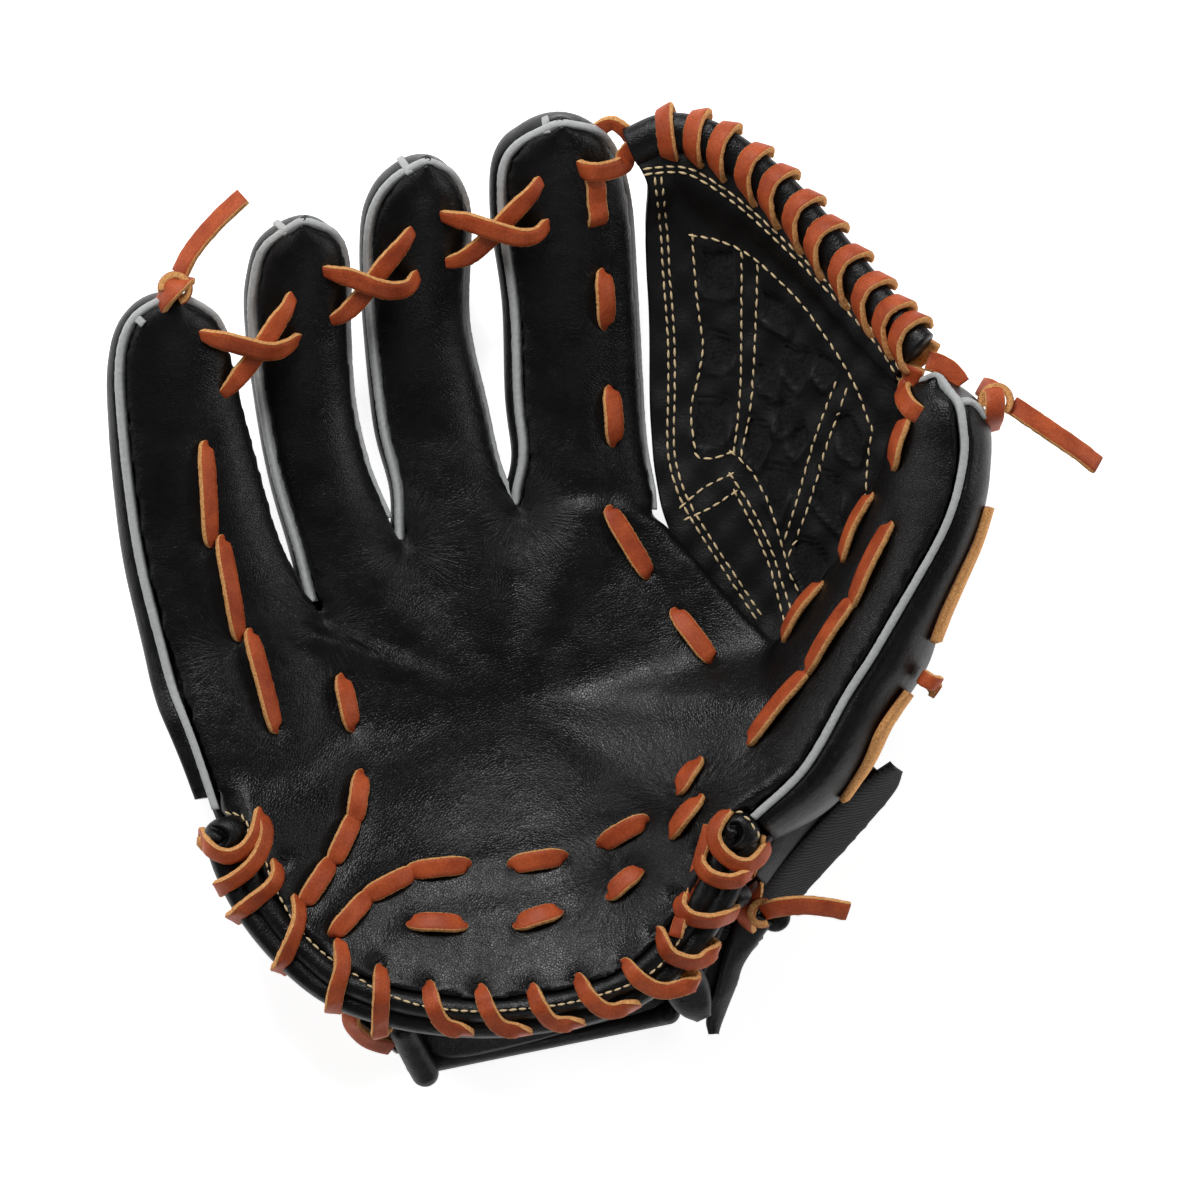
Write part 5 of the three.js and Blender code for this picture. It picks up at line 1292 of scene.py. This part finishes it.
def heel_lacing():
    lace = Lace("heel_lacing", ["heel_lace"])
    out = ROLL / 2 + LACE_THICK / 2 + 0.1 * MM
    trees = [palm_bvh, heel_bvh] + cap_trees
    for number, centre in enumerate(HEEL_WRAPS):
        centre = even(smooth_rows(np.array(centre, float), 4), 9)
        hits = [land(x, y, trees) for x, y in centre]
        hole = hits[0]
        hits = [h if h is not None else (np.array([*spot(*c), hole[0][2] - 4 * MM]), np.array([0, 0, 1.0]))
                for h, c in zip(hits, centre)]
        line = np.array([h[0] + np.array([0, 0, LACE_THICK / 2 + 0.5 * MM]) for h in hits])
        line[-1, 2] = min(line[-1, 2], line[-2, 2] - 1.5 * MM)
        for _ in range(4):
            line[1:-1, 2] = np.maximum(line[1:-1, 2], (line[:-2, 2] + line[2:, 2]) / 2)
        up = np.array([h[1] for h in hits])
        up[1:-1] = (up[:-2] + up[1:-1] + up[2:]) / 3
        back = nearest(heel_line, line[-1])
        go = tangents(line)
        raw_side = np.stack([go[:, 1], -go[:, 0], 0 * go[:, 0]], axis=1) * (1 if number < 6 else -1)
        up = unit(up + [0, 0, 0.5] - unit(raw_side) * (0.45 if 4 <= number <= 10 else 1.0))
        phi = np.linspace(math.pi + 0.35, 2 * math.pi - 0.7, 6)
        x, y = stadium(phi, ROLL_SPACING / 2, out)
        under = heel_line[back] + heel_in[back] * x[:, None] + heel_up[back] * y[:, None]
        under_up = unit(heel_in[back] * np.cos(phi)[:, None] + heel_up[back] * np.sin(phi)[:, None])
        dive = np.array([line[0] - hole[1] * 5 * MM, line[0] - hole[1] * 1.2 * MM])
        path = np.vstack([dive, line[1:], under])
        up = np.vstack([up[0], up[0], up[1:-1], unit(up[-1] - heel_in[back]), under_up])
        shape = np.ones(len(path))
        shape[:4] = (0.6, 0.7, 0.9, 1)
        lace.add(path, up, dense=3, shape=shape, width=5.5 * MM)
    strip = [land(x, y, trees) for x, y in HEEL_STRIP]
    lace.add(np.array([h[0] + h[1] * 0.5 * MM for h in strip]), np.array([unit(h[1] + [-0.5, 0.1, 0.5]) for h in strip]),
             dense=4, width=4.6 * MM, thick=1.8 * MM)
    return lace.build()


heel_lacing()

# Middle of each wrap in the front view, and how far it leans forward.
TOP_WRAPS = [
    (667, 133, 0.0), (695, 140, 0.35), (719, 150, 0.65), (752, 166, 0.9), (777, 187, 1.0), (804, 209, 1.0),
    (829, 233, 1.0), (855, 260, 1.0), (880, 288, 1.0), (900, 311, 0.9), (912, 331, 0.75),
]
WRAP_TURN = np.radians([-60, 0, 40, 68, 106, 139, 180, 230, 290])
WRAP_LEAD = np.array([1.5, -0.7, -1.9, -2.2, 0.0, 4.3, 8.6, 10.0, 8.0]) * MM


def web_top_lacing():
    lace = Lace("web_top_lacing", ["web_top_lace"])
    step = np.linalg.norm(top_line[1] - top_line[0])
    a = BINDING_WIDTH / 2 + LACE_THICK / 2 + 0.2 * MM
    b = BINDING_HEIGHT / 2 + LACE_THICK / 2 + 0.2 * MM
    for x, y, lean in TOP_WRAPS:
        middle = nearest(top_line, spot(x, y))
        phi = np.linspace(-0.9, 2 * math.pi - 1.3, 25)
        at = middle + np.interp(phi, WRAP_TURN, WRAP_LEAD) * lean / step
        at = np.clip(at, 0, len(top_line) - 1)
        low = at.astype(int)
        part = (at - low)[:, None]
        high = np.minimum(low + 1, len(top_line) - 1)
        line = top_line[low] * (1 - part) + top_line[high] * part
        path = line - top_in[low] * (a * np.cos(phi))[:, None] + top_up[low] * (b * np.sin(phi))[:, None]
        up = unit(-top_in[low] * (np.cos(phi) / a)[:, None] + top_up[low] * (np.sin(phi) / b)[:, None])
        lace.add(path, unit(up - top_along[low] * 0.45), dense=3, width=5.9 * MM)
    return lace.build()


web_top_lacing()

# ---------------------------------------------------------------- welts


def welt_pieces():
    for stall in FINGERS:
        rings = stall.welt(*WELT_ROWS[stall.name])
        jag = rng.normal(0, 0.03, rings.shape[:2])[..., None]
        middle = rings.mean(axis=1, keepdims=True)
        verts, faces = tube_mesh(middle + (rings - middle) * (1 + jag))
        piece = make_mesh(stall.name + "_welt_edge", verts, outward(verts, faces), WELT)
        place_piece(piece, [stall.name + "_welt"])


welt_pieces()

# ---------------------------------------------------------------- stitching


def dash(point, normal, go, length, thick):
    """Points and faces of one thread stitch."""
    side = unit(np.cross(normal, go))
    t = np.linspace(-1, 1, 7)
    bow = np.sqrt(np.clip(1 - t**2, 0.03, 1))
    a = np.linspace(0, 2 * math.pi, 6, endpoint=False)
    centre = point + go * (t * length / 2)[:, None] + normal * (0.25 * thick * (bow - 0.6))[:, None]
    x = side * (np.cos(a) * thick / 2)[:, None]
    y = normal * (np.sin(a) * thick / 2)[:, None]
    return tube_mesh(centre[:, None] + (x + y)[None] * bow[:, None, None])


def stitching(name, lines, material, pitch=3.65, length=2.9, thick=0.8, trees=None):
    """Rows of thread stitches along lines of the front view, pitch and length in mm."""
    parts = []
    for line in lines:
        smooth = smooth_rows(np.array(line, float), 6) if len(line) > 2 else np.array(line, float)
        points, _ = along(spot(*smooth.T) * 1000, pitch)
        steps = np.gradient(points, axis=0)
        for p, step in zip(points, steps):
            x = (p[0] / 1000 - SHIFT[0]) / WIDTH * 882 + 103
            y = 1030 - (p[1] / 1000 - SHIFT[1]) / LENGTH * 910
            hit = land(x, y, trees)
            if hit is None:
                continue
            go = np.array([step[0], step[1], 0.0])
            go = unit(go - hit[1] * np.dot(go, hit[1]))
            turn = rng.normal(0, 0.05)
            go = unit(go + np.cross(hit[1], go) * turn)
            size = rng.uniform(0.9, 1.08)
            parts.append(dash(hit[0] + hit[1] * 0.1 * MM, hit[1], go, length * size * MM, thick * MM))
    verts, faces = joined(parts)
    piece = make_mesh(name, verts, faces, material)
    return place_piece(piece)


def beside(line, by):
    """A line of the front view, moved sideways."""
    line = np.array(line, float)
    go = unit(np.gradient(line, axis=0))
    return line + np.stack([-go[:, 1], go[:, 0]], axis=1) * by


OUTER_ARC = [(648, 175), (672, 173), (695, 178), (737, 206), (780, 245), (822, 287), (858, 325), (880, 352), (897, 380)]
LEFT_ROW = [(655, 182), (661, 232), (664, 280), (668, 330), (669, 380), (668, 430), (670, 462), (682, 500),
            (704, 538), (730, 578), (755, 616)]
INNER_ARC = [(693, 235), (718, 240), (745, 252), (770, 272), (800, 302), (822, 332), (842, 362), (858, 392),
             (868, 420), (872, 428), (868, 460), (866, 498)]
WEB_STITCHES = [
    OUTER_ARC,
    beside(OUTER_ARC, -5.5),
    LEFT_ROW,
    beside(LEFT_ROW, -6.5),
    INNER_ARC,
    [(693, 237), (695, 270), (699, 310), (703, 345), (698, 380), (692, 405), (693, 430), (698, 455), (715, 457),
     (731, 452)],
    [(742, 255), (742, 320), (741, 390), (735, 450)],
    [(758, 268), (756, 330), (752, 400), (742, 452)],
    [(835, 385), (815, 440), (798, 500), (787, 535)],
    [(846, 392), (826, 450), (808, 510), (791, 553)],
    [(733, 452), (752, 470), (770, 505), (783, 545), (792, 575), (804, 598)],
    [(683, 505), (705, 487), (731, 474)],
    [(688, 518), (710, 508), (735, 492)],
    [(732, 475), (755, 512), (772, 548), (784, 585), (795, 617)],
    [(736, 492), (757, 532), (772, 570), (780, 600), (788, 630)],
]
stitching("web_stitching", WEB_STITCHES, CREAM, trees=[web_bvh])

HEEL_SEAM = [(262, 845), (270, 875), (285, 905), (305, 935), (330, 958), (352, 972), (370, 985), (392, 995),
             (425, 1005), (475, 1010), (530, 1007), (577, 1000), (625, 985), (655, 968), (676, 944), (690, 915)]
CAP_SEAMS = [[(228, 813), (236, 814), (243, 817), (248, 824), (249, 832)],
             [(730, 814), (737, 811), (745, 816), (752, 825), (758, 835), (760, 843)]]
stitching("heel_stitching", [HEEL_SEAM], CREAM, pitch=3.1, length=2.6, thick=0.8, trees=[palm_bvh, heel_bvh])
stitching("cap_stitching", CAP_SEAMS, CREAM, pitch=2.9, length=2.5, thick=0.8, trees=[palm_bvh, heel_bvh] + cap_trees)


def thread_rims():
    """Black buttonhole stitches round the holes beside the heel roll."""
    parts = []
    for x, y in THREAD_HOLES:
        point, normal = land(x, y, [palm_bvh])
        east = unit(np.cross(normal, np.array([0, 1.0, 0.2])))
        north = np.cross(normal, east)
        for k in range(11):
            a = 2 * math.pi * (k + rng.uniform(-0.2, 0.2)) / 11
            out = east * math.cos(a) + north * math.sin(a) * 0.9
            at = point + out * 2.1 * MM + normal * 0.35 * MM
            go = unit(out * 0.8 + np.cross(normal, out) * rng.uniform(-0.5, 0.5) - normal * 0.3)
            parts.append(dash(at, normal, go, 2.6 * MM, 0.8 * MM))
    verts, faces = joined(parts)
    piece = make_mesh("hole_threads", verts, faces, THREAD)
    place_piece(piece)


thread_rims()

# ---------------------------------------------------------------- leather by the wrist


def flap(name, rows, thick, curl, ragged=0.0, material=None):
    """A strip of leather through rows of left and right edges: x, y and share of depth."""
    rows = smooth_rows(np.array(rows, float), 7)
    left = np.stack([*spot(rows[:, 0], rows[:, 1]).T, rows[:, 2] * DEPTH + SHIFT[2]], axis=1)[:, None]
    right = np.stack([*spot(rows[:, 3], rows[:, 4]).T, rows[:, 5] * DEPTH + SHIFT[2]], axis=1)[:, None]
    share = np.linspace(0, 1, 21)[None, :, None]
    jag = rng.normal(0, ragged, (len(rows), 1, 1)) * (share > 0.97)
    grid = left + (right - left) * (share + jag)
    grid = grid + np.array([0, 0, 1.0]) * curl * 4 * share * (1 - share)
    normal = unit(np.cross(np.gradient(grid, axis=1), np.gradient(grid, axis=0)))
    half = thick / 2 * np.clip(1 - (2 * share - 1) ** 8, 0.25, 1)
    return leather_piece(name, wall_mesh(grid + normal * half, grid - normal * half), (), material)


flap(
    "lower_flap",
    [
        (737, 906, 0.33, 774, 924, 0.3),
        (728, 940, 0.3, 760, 942, 0.27),
        (721, 968, 0.27, 744, 965, 0.23),
        (716, 990, 0.23, 737, 986, 0.2),
        (710, 1010, 0.18, 728, 1009, 0.15),
        (707, 1025, 0.15, 721, 1027, 0.12),
        (711, 1035, 0.13, 717, 1037, 0.11),
    ],
    3 * MM,
    1.2 * MM,
    0.03,
)
flap(
    "inner_flap",
    [
        (724, 868, 0.33, 766, 880, 0.33),
        (716, 900, 0.31, 760, 912, 0.29),
        (703, 940, 0.26, 742, 945, 0.24),
        (690, 975, 0.22, 728, 975, 0.19),
        (684, 1000, 0.19, 718, 1003, 0.16),
        (684, 1010, 0.17, 712, 1016, 0.14),
    ],
    2.5 * MM,
    -1.5 * MM,
)
leather_piece("heel_fold", bulge(733, 895, 0.5, 6.0 * MM, 4.6 * MM, 5.5 * MM))
leather_piece("strap_fold", bulge(776, 918, 0.28, 5.0 * MM, 5.0 * MM, 2.5 * MM))
flap(
    "back_panel",
    [
        (392, 1012, 0.2, 402, 1056, 0.125),
        (450, 1020, 0.2, 451, 1062, 0.12),
        (520, 1022, 0.2, 522, 1048, 0.12),
        (600, 1008, 0.2, 602, 1026, 0.125),
        (660, 985, 0.21, 674, 1009, 0.14),
    ],
    3 * MM,
    -1.5 * MM,
)
flap(
    "thumb_side_leather",
    [
        (846, 742, 0.52, 884, 776, 0.36),
        (818, 768, 0.52, 858, 800, 0.35),
        (792, 796, 0.5, 824, 836, 0.32),
        (768, 832, 0.47, 796, 864, 0.3),
        (750, 872, 0.42, 768, 894, 0.27),
    ],
    3 * MM,
    1.5 * MM,
)
flap(
    "rolled_flap",
    [
        (664, 984, 0.3, 700, 966, 0.4),
        (668, 1000, 0.28, 708, 982, 0.33),
        (680, 1014, 0.25, 711, 1002, 0.28),
        (697, 1020, 0.22, 709, 1014, 0.24),
    ],
    4 * MM,
    2.5 * MM,
)

# ---------------------------------------------------------------- knots and lace ends


def flat_point(x, y, w):
    px, py = spot(x, y)
    return np.array([px, py, w * DEPTH + SHIFT[2]])


def lace_through(lace, rows, up, **more):
    """A ribbon through places of the front view with their heights."""
    path = np.array([flat_point(*row) for row in rows])
    return lace.add(path, up, **more)


def loop(lace, x, y, w, radius, first, last, tilt=0.0):
    """A ribbon bent round a knot, its edge towards the front."""
    a = np.radians(np.linspace(first, last, 14))
    centre = flat_point(x, y, w)
    out = np.stack([np.cos(a), np.sin(a), 0 * a], axis=1)
    path = centre + out * radius * MM
    path[:, 2] += np.linspace(-tilt, tilt, len(a)) * MM
    lace.add(path, out, dense=3, width=5.2 * MM, thick=2.3 * MM)




def over_leather(lace, rows, lift, up=(0, 0, 1), **more):
    """A ribbon over places of the front view, lift above the leather; its first and last points dive."""
    points, ups = [], []
    for i, (x, y) in enumerate(rows):
        hit = land(x, y, ALL_LEATHER + [backs_bvh])
        height = lift if 0 < i < len(rows) - 1 else -3.5 * MM
        if hit is None:
            last = points[-1][2] if points else 0.73 * DEPTH
            points.append(np.array([*spot(x, y), last - 0.5 * MM]))
            ups.append(unit(np.array(up) + [0, 0, 1]))
            continue
        points.append(hit[0] + hit[1] * height)
        ups.append(unit(hit[1] + np.array(up)))
    return lace.add(np.array(points), np.array(ups), **more)


backs_bvh = bvh_of(*joined([stall.back() for stall in FINGERS]))
index_top = Lace("index_top_lace")
over_leather(index_top, [(594, 172), (594, 182), (595, 200), (597, 217), (598, 229)], 1.6 * MM, (0.35, 0, 1))
over_leather(index_top, [(578, 171), (586, 168), (599, 168), (613, 165), (626, 157), (636, 149)], 3.6 * MM, (0, -0.5, 1))
lace_through(index_top, [(594, 136, 0.5), (603, 127, 0.53), (613, 124, 0.54), (624, 131, 0.54), (632, 140, 0.5)],
             (-0.2, -0.6, 0.6), width=5 * MM)
index_top.build()
web_end = Lace("web_end_lace")
over_leather(web_end, [(914, 368), (908, 380), (905, 396), (911, 410), (919, 420)], 1.8 * MM, (-0.6, 0, 1))
over_leather(web_end, [(925, 362), (938, 366), (950, 374), (959, 386)], 1.6 * MM, (0, 0.5, 1))
web_end.build()

pinky_knot = Lace("pinky_knot_lace", ["pinky_knot"])
lace_through(pinky_knot, [(160, 318, 0.56), (163, 306, 0.64), (171, 295, 0.69), (180, 286, 0.69), (188, 281, 0.64)],
             (-0.4, 0.3, 1))
loop(pinky_knot, 177, 290, 0.66, 4.4, -70, 190, 0.6)
pinky_knot.build()
pinky_tail = Lace("pinky_lace_end", ["pinky_knot_end"])
lace_through(pinky_tail, [(181, 275, 0.63), (190, 258, 0.65), (203, 240, 0.66), (222, 219, 0.67), (245, 198, 0.67)],
             (-0.5, 0.25, 0.8))
pinky_tail.build()

thumb_knot = Lace("thumb_knot_lace", ["thumb_knot"])
lace_through(thumb_knot, [(988, 430, 0.7), (991, 419, 0.79), (992, 405, 0.81), (990, 392, 0.78), (980, 388, 0.7)],
             (0.2, 0, 1))
loop(thumb_knot, 993, 402, 0.76, 4.6, -50, 205, -0.5)
thumb_knot.build()
thumb_tail = Lace("thumb_lace_end", ["thumb_knot_end"])
lace_through(thumb_tail, [(1009, 406, 0.75), (1028, 419, 0.76), (1050, 434, 0.75), (1074, 450, 0.73), (1095, 466, 0.7)],
             (0.25, 0.3, 0.9))
thumb_tail.build()

heel_knot = Lace("heel_knot_lace", ["heel_knot"])
lace_through(heel_knot, [(757, 884, 0.3), (753, 894, 0.42), (748, 907, 0.46), (745, 919, 0.43), (748, 927, 0.33)],
             (-0.3, 0, 1))
loop(heel_knot, 762, 913, 0.46, 3.7, 65, 300, 0.3)
heel_knot.build()
heel_tail = Lace("heel_lace_end", ["heel_knot_end"])
lace_through(heel_tail, [(764, 911, 0.46), (780, 907, 0.5), (803, 905, 0.5), (826, 907, 0.49), (848, 911, 0.47)],
             (0, -0.45, 0.9))
heel_tail.build()

thumb = FINGERS[-1]


def thumb_back(row, angle, off):
    """A point off the thumb's back, and the way out there."""
    i = int(round(row * thumb.per))
    p = thumb.at(np.radians(angle) * np.ones((1, 1)), -off * np.ones((1, 1)))[i, 0]
    return p, unit(p - thumb.centre[i])


def back_lace(name, rows, nodes, off=1.9 * MM):
    lace = Lace(name, nodes)
    points, ups = zip(*[thumb_back(row, angle, off) for row, angle in rows])
    path = lace.add(np.array(points), np.array(ups), dense=6, flip=True)
    lace.build()
    return path


upper_path = back_lace("thumb_back_strip", [(5.35, -30), (4.9, -30), (4.4, -30), (3.9, -30), (3.5, -30)], ["thumb_back_lace"])
back_lace("thumb_back_strip_lower", [(2.75, -27), (2.4, -25), (2.0, -25), (1.5, -30), (1.0, -35)],
          ["thumb_back_lace_lower"])
middle, out = thumb_back(3, -30, 5.35 * MM)
cross = Lace("thumb_back_knot", ["thumb_lace_knot"])
go = unit(upper_path[-1] - upper_path[0])
side = unit(np.cross(go, out))
a = np.linspace(0, 2 * math.pi, 17)
ring = middle + out * (2.6 * MM * np.cos(a))[:, None] + side * (3.6 * MM * np.sin(a))[:, None]
cross.add(ring + go * (np.linspace(-1.4, 1.4, 17) * MM)[:, None],
          unit(out * np.cos(a)[:, None] + side * np.sin(a)[:, None]), dense=3, width=5 * MM)
cross.build()

wrist_loop = Lace("wrist_loop", ["wrist_loop_lace"])
lace_through(wrist_loop, [(353, 1008, 0.335), (350, 1018, 0.32), (352, 1028, 0.29), (366, 1042, 0.245),
                          (390, 1050, 0.19)], (-0.5, -0.2, 0.8))
wrist_loop.build()

# ---------------------------------------------------------------- welts across the tips

TIP_WELTS = [
    [(134, 316), (140, 320), (146, 325)],
    [(276, 223), (282, 228), (288, 235)],
    [(401, 160), (406, 167), (411, 175)],
    [(546, 120), (547, 127), (548, 135)],
    [(957, 404), (966, 404), (974, 409), (981, 418)],
]


def tip_welts():
    parts = []
    for line in TIP_WELTS:
        points = smooth_rows(spot(*np.array(line, float).T), 6)
        path, ups = [], []
        for x, y in points:
            px = (x - SHIFT[0]) / WIDTH * 882 + 103
            py = 1030 - (y - SHIFT[1]) / LENGTH * 910
            hit = land(px, py, [palm_bvh, backs_bvh])
            if hit is None:
                continue
            path.append(hit[0])
            ups.append(hit[1])
        if len(path) < 3:
            continue
        rings, _ = ribbon(np.array(path) + np.array(ups) * 0.2 * MM, np.array(ups), width=2.4 * MM, thick=1.8 * MM)
        parts.append(tube_mesh(rings))
    verts, faces = joined(parts)
    piece = make_mesh("tip_welts", verts, faces, WELT)
    place_piece(piece, ())


tip_welts()

# ---------------------------------------------------------------- strap tab


def tab_shape():
    rows = smooth_rows(TAB, 8)
    share = np.linspace(0, 1, 17)[None, :, None]
    left, right = place(*rows[:, 0:3].T)[:, None], place(*rows[:, 3:6].T)[:, None]
    ragged = rng.normal(0, 0.035, (len(rows), 1, 1)) * (share > 0.97)
    grid = left + (right - left) * (1.24 * share - 0.12 + ragged)
    normal = unit(np.cross(np.gradient(grid, axis=1), np.gradient(grid, axis=0)))
    thick = 2 * MM * np.sqrt(np.clip(1 - (2 * share - 1) ** 4, 0.05, 1))
    return wall_mesh(grid + normal * thick, grid - normal * thick)


leather_piece("strap_tab_textile", tab_shape(), ["strap_tab"], TEXTILE)

# ---------------------------------------------------------------- stage, lights and camera


def stage():
    material, tree, shader = new_material("floor_white", (0.86, 0.86, 0.86), 0.9)
    shader.inputs["Emission Color"].default_value = (1, 1, 1, 1)
    shader.inputs["Emission Strength"].default_value = 0.8
    corners = [(-3, -3, 0), (3, -3, 0), (3, 3, 0), (-3, 3, 0)]
    floor = make_mesh("floor", corners, [[0, 1, 2, 3]], material, smooth=False)
    world = bpy.data.worlds.new("studio")
    world.use_nodes = True
    world.node_tree.nodes["Background"].inputs[0].default_value = (1, 1, 1, 1)
    world.node_tree.nodes["Background"].inputs[1].default_value = 0.05
    bpy.context.scene.world = world
    for name, where, size, power in LIGHTS:
        light = bpy.data.lights.new(name, "AREA")
        light.size = size
        light.energy = power
        lamp = bpy.data.objects.new(name, light)
        lamp.location = where
        lamp.rotation_mode = "QUATERNION"
        lamp.rotation_quaternion = (Vector((0, 0, 0.04)) - Vector(where)).to_track_quat("-Z", "Y")
        bpy.context.scene.collection.objects.link(lamp)


# Name, place, size and power of each soft light.
LIGHTS = [
    ("key", (-0.3, 1.1, 1.2), 0.6, 20.0),
    ("right", (1.35, 0.15, 0.75), 0.7, 6.0),
    ("left", (-1.35, 0.3, 0.7), 0.6, 4.5),
    ("low", (0.15, -1.2, 0.9), 0.6, 2.0),
]
stage()

VIEW_WIDTH = 1200 * WIDTH / 882
CAMERA_HEIGHT = 4.0
camera = bpy.data.cameras.new("camera")
camera.sensor_width = 36
camera.lens = 36 * CAMERA_HEIGHT / VIEW_WIDTH
camera.clip_end = 20
eye = bpy.data.objects.new("camera", camera)
middle_x, middle_y = spot(600, 600)
eye.location = (middle_x, middle_y, CAMERA_HEIGHT + 0.045)
bpy.context.scene.collection.objects.link(eye)
bpy.context.scene.camera = eye
bpy.context.scene.view_settings.view_transform = "Standard"
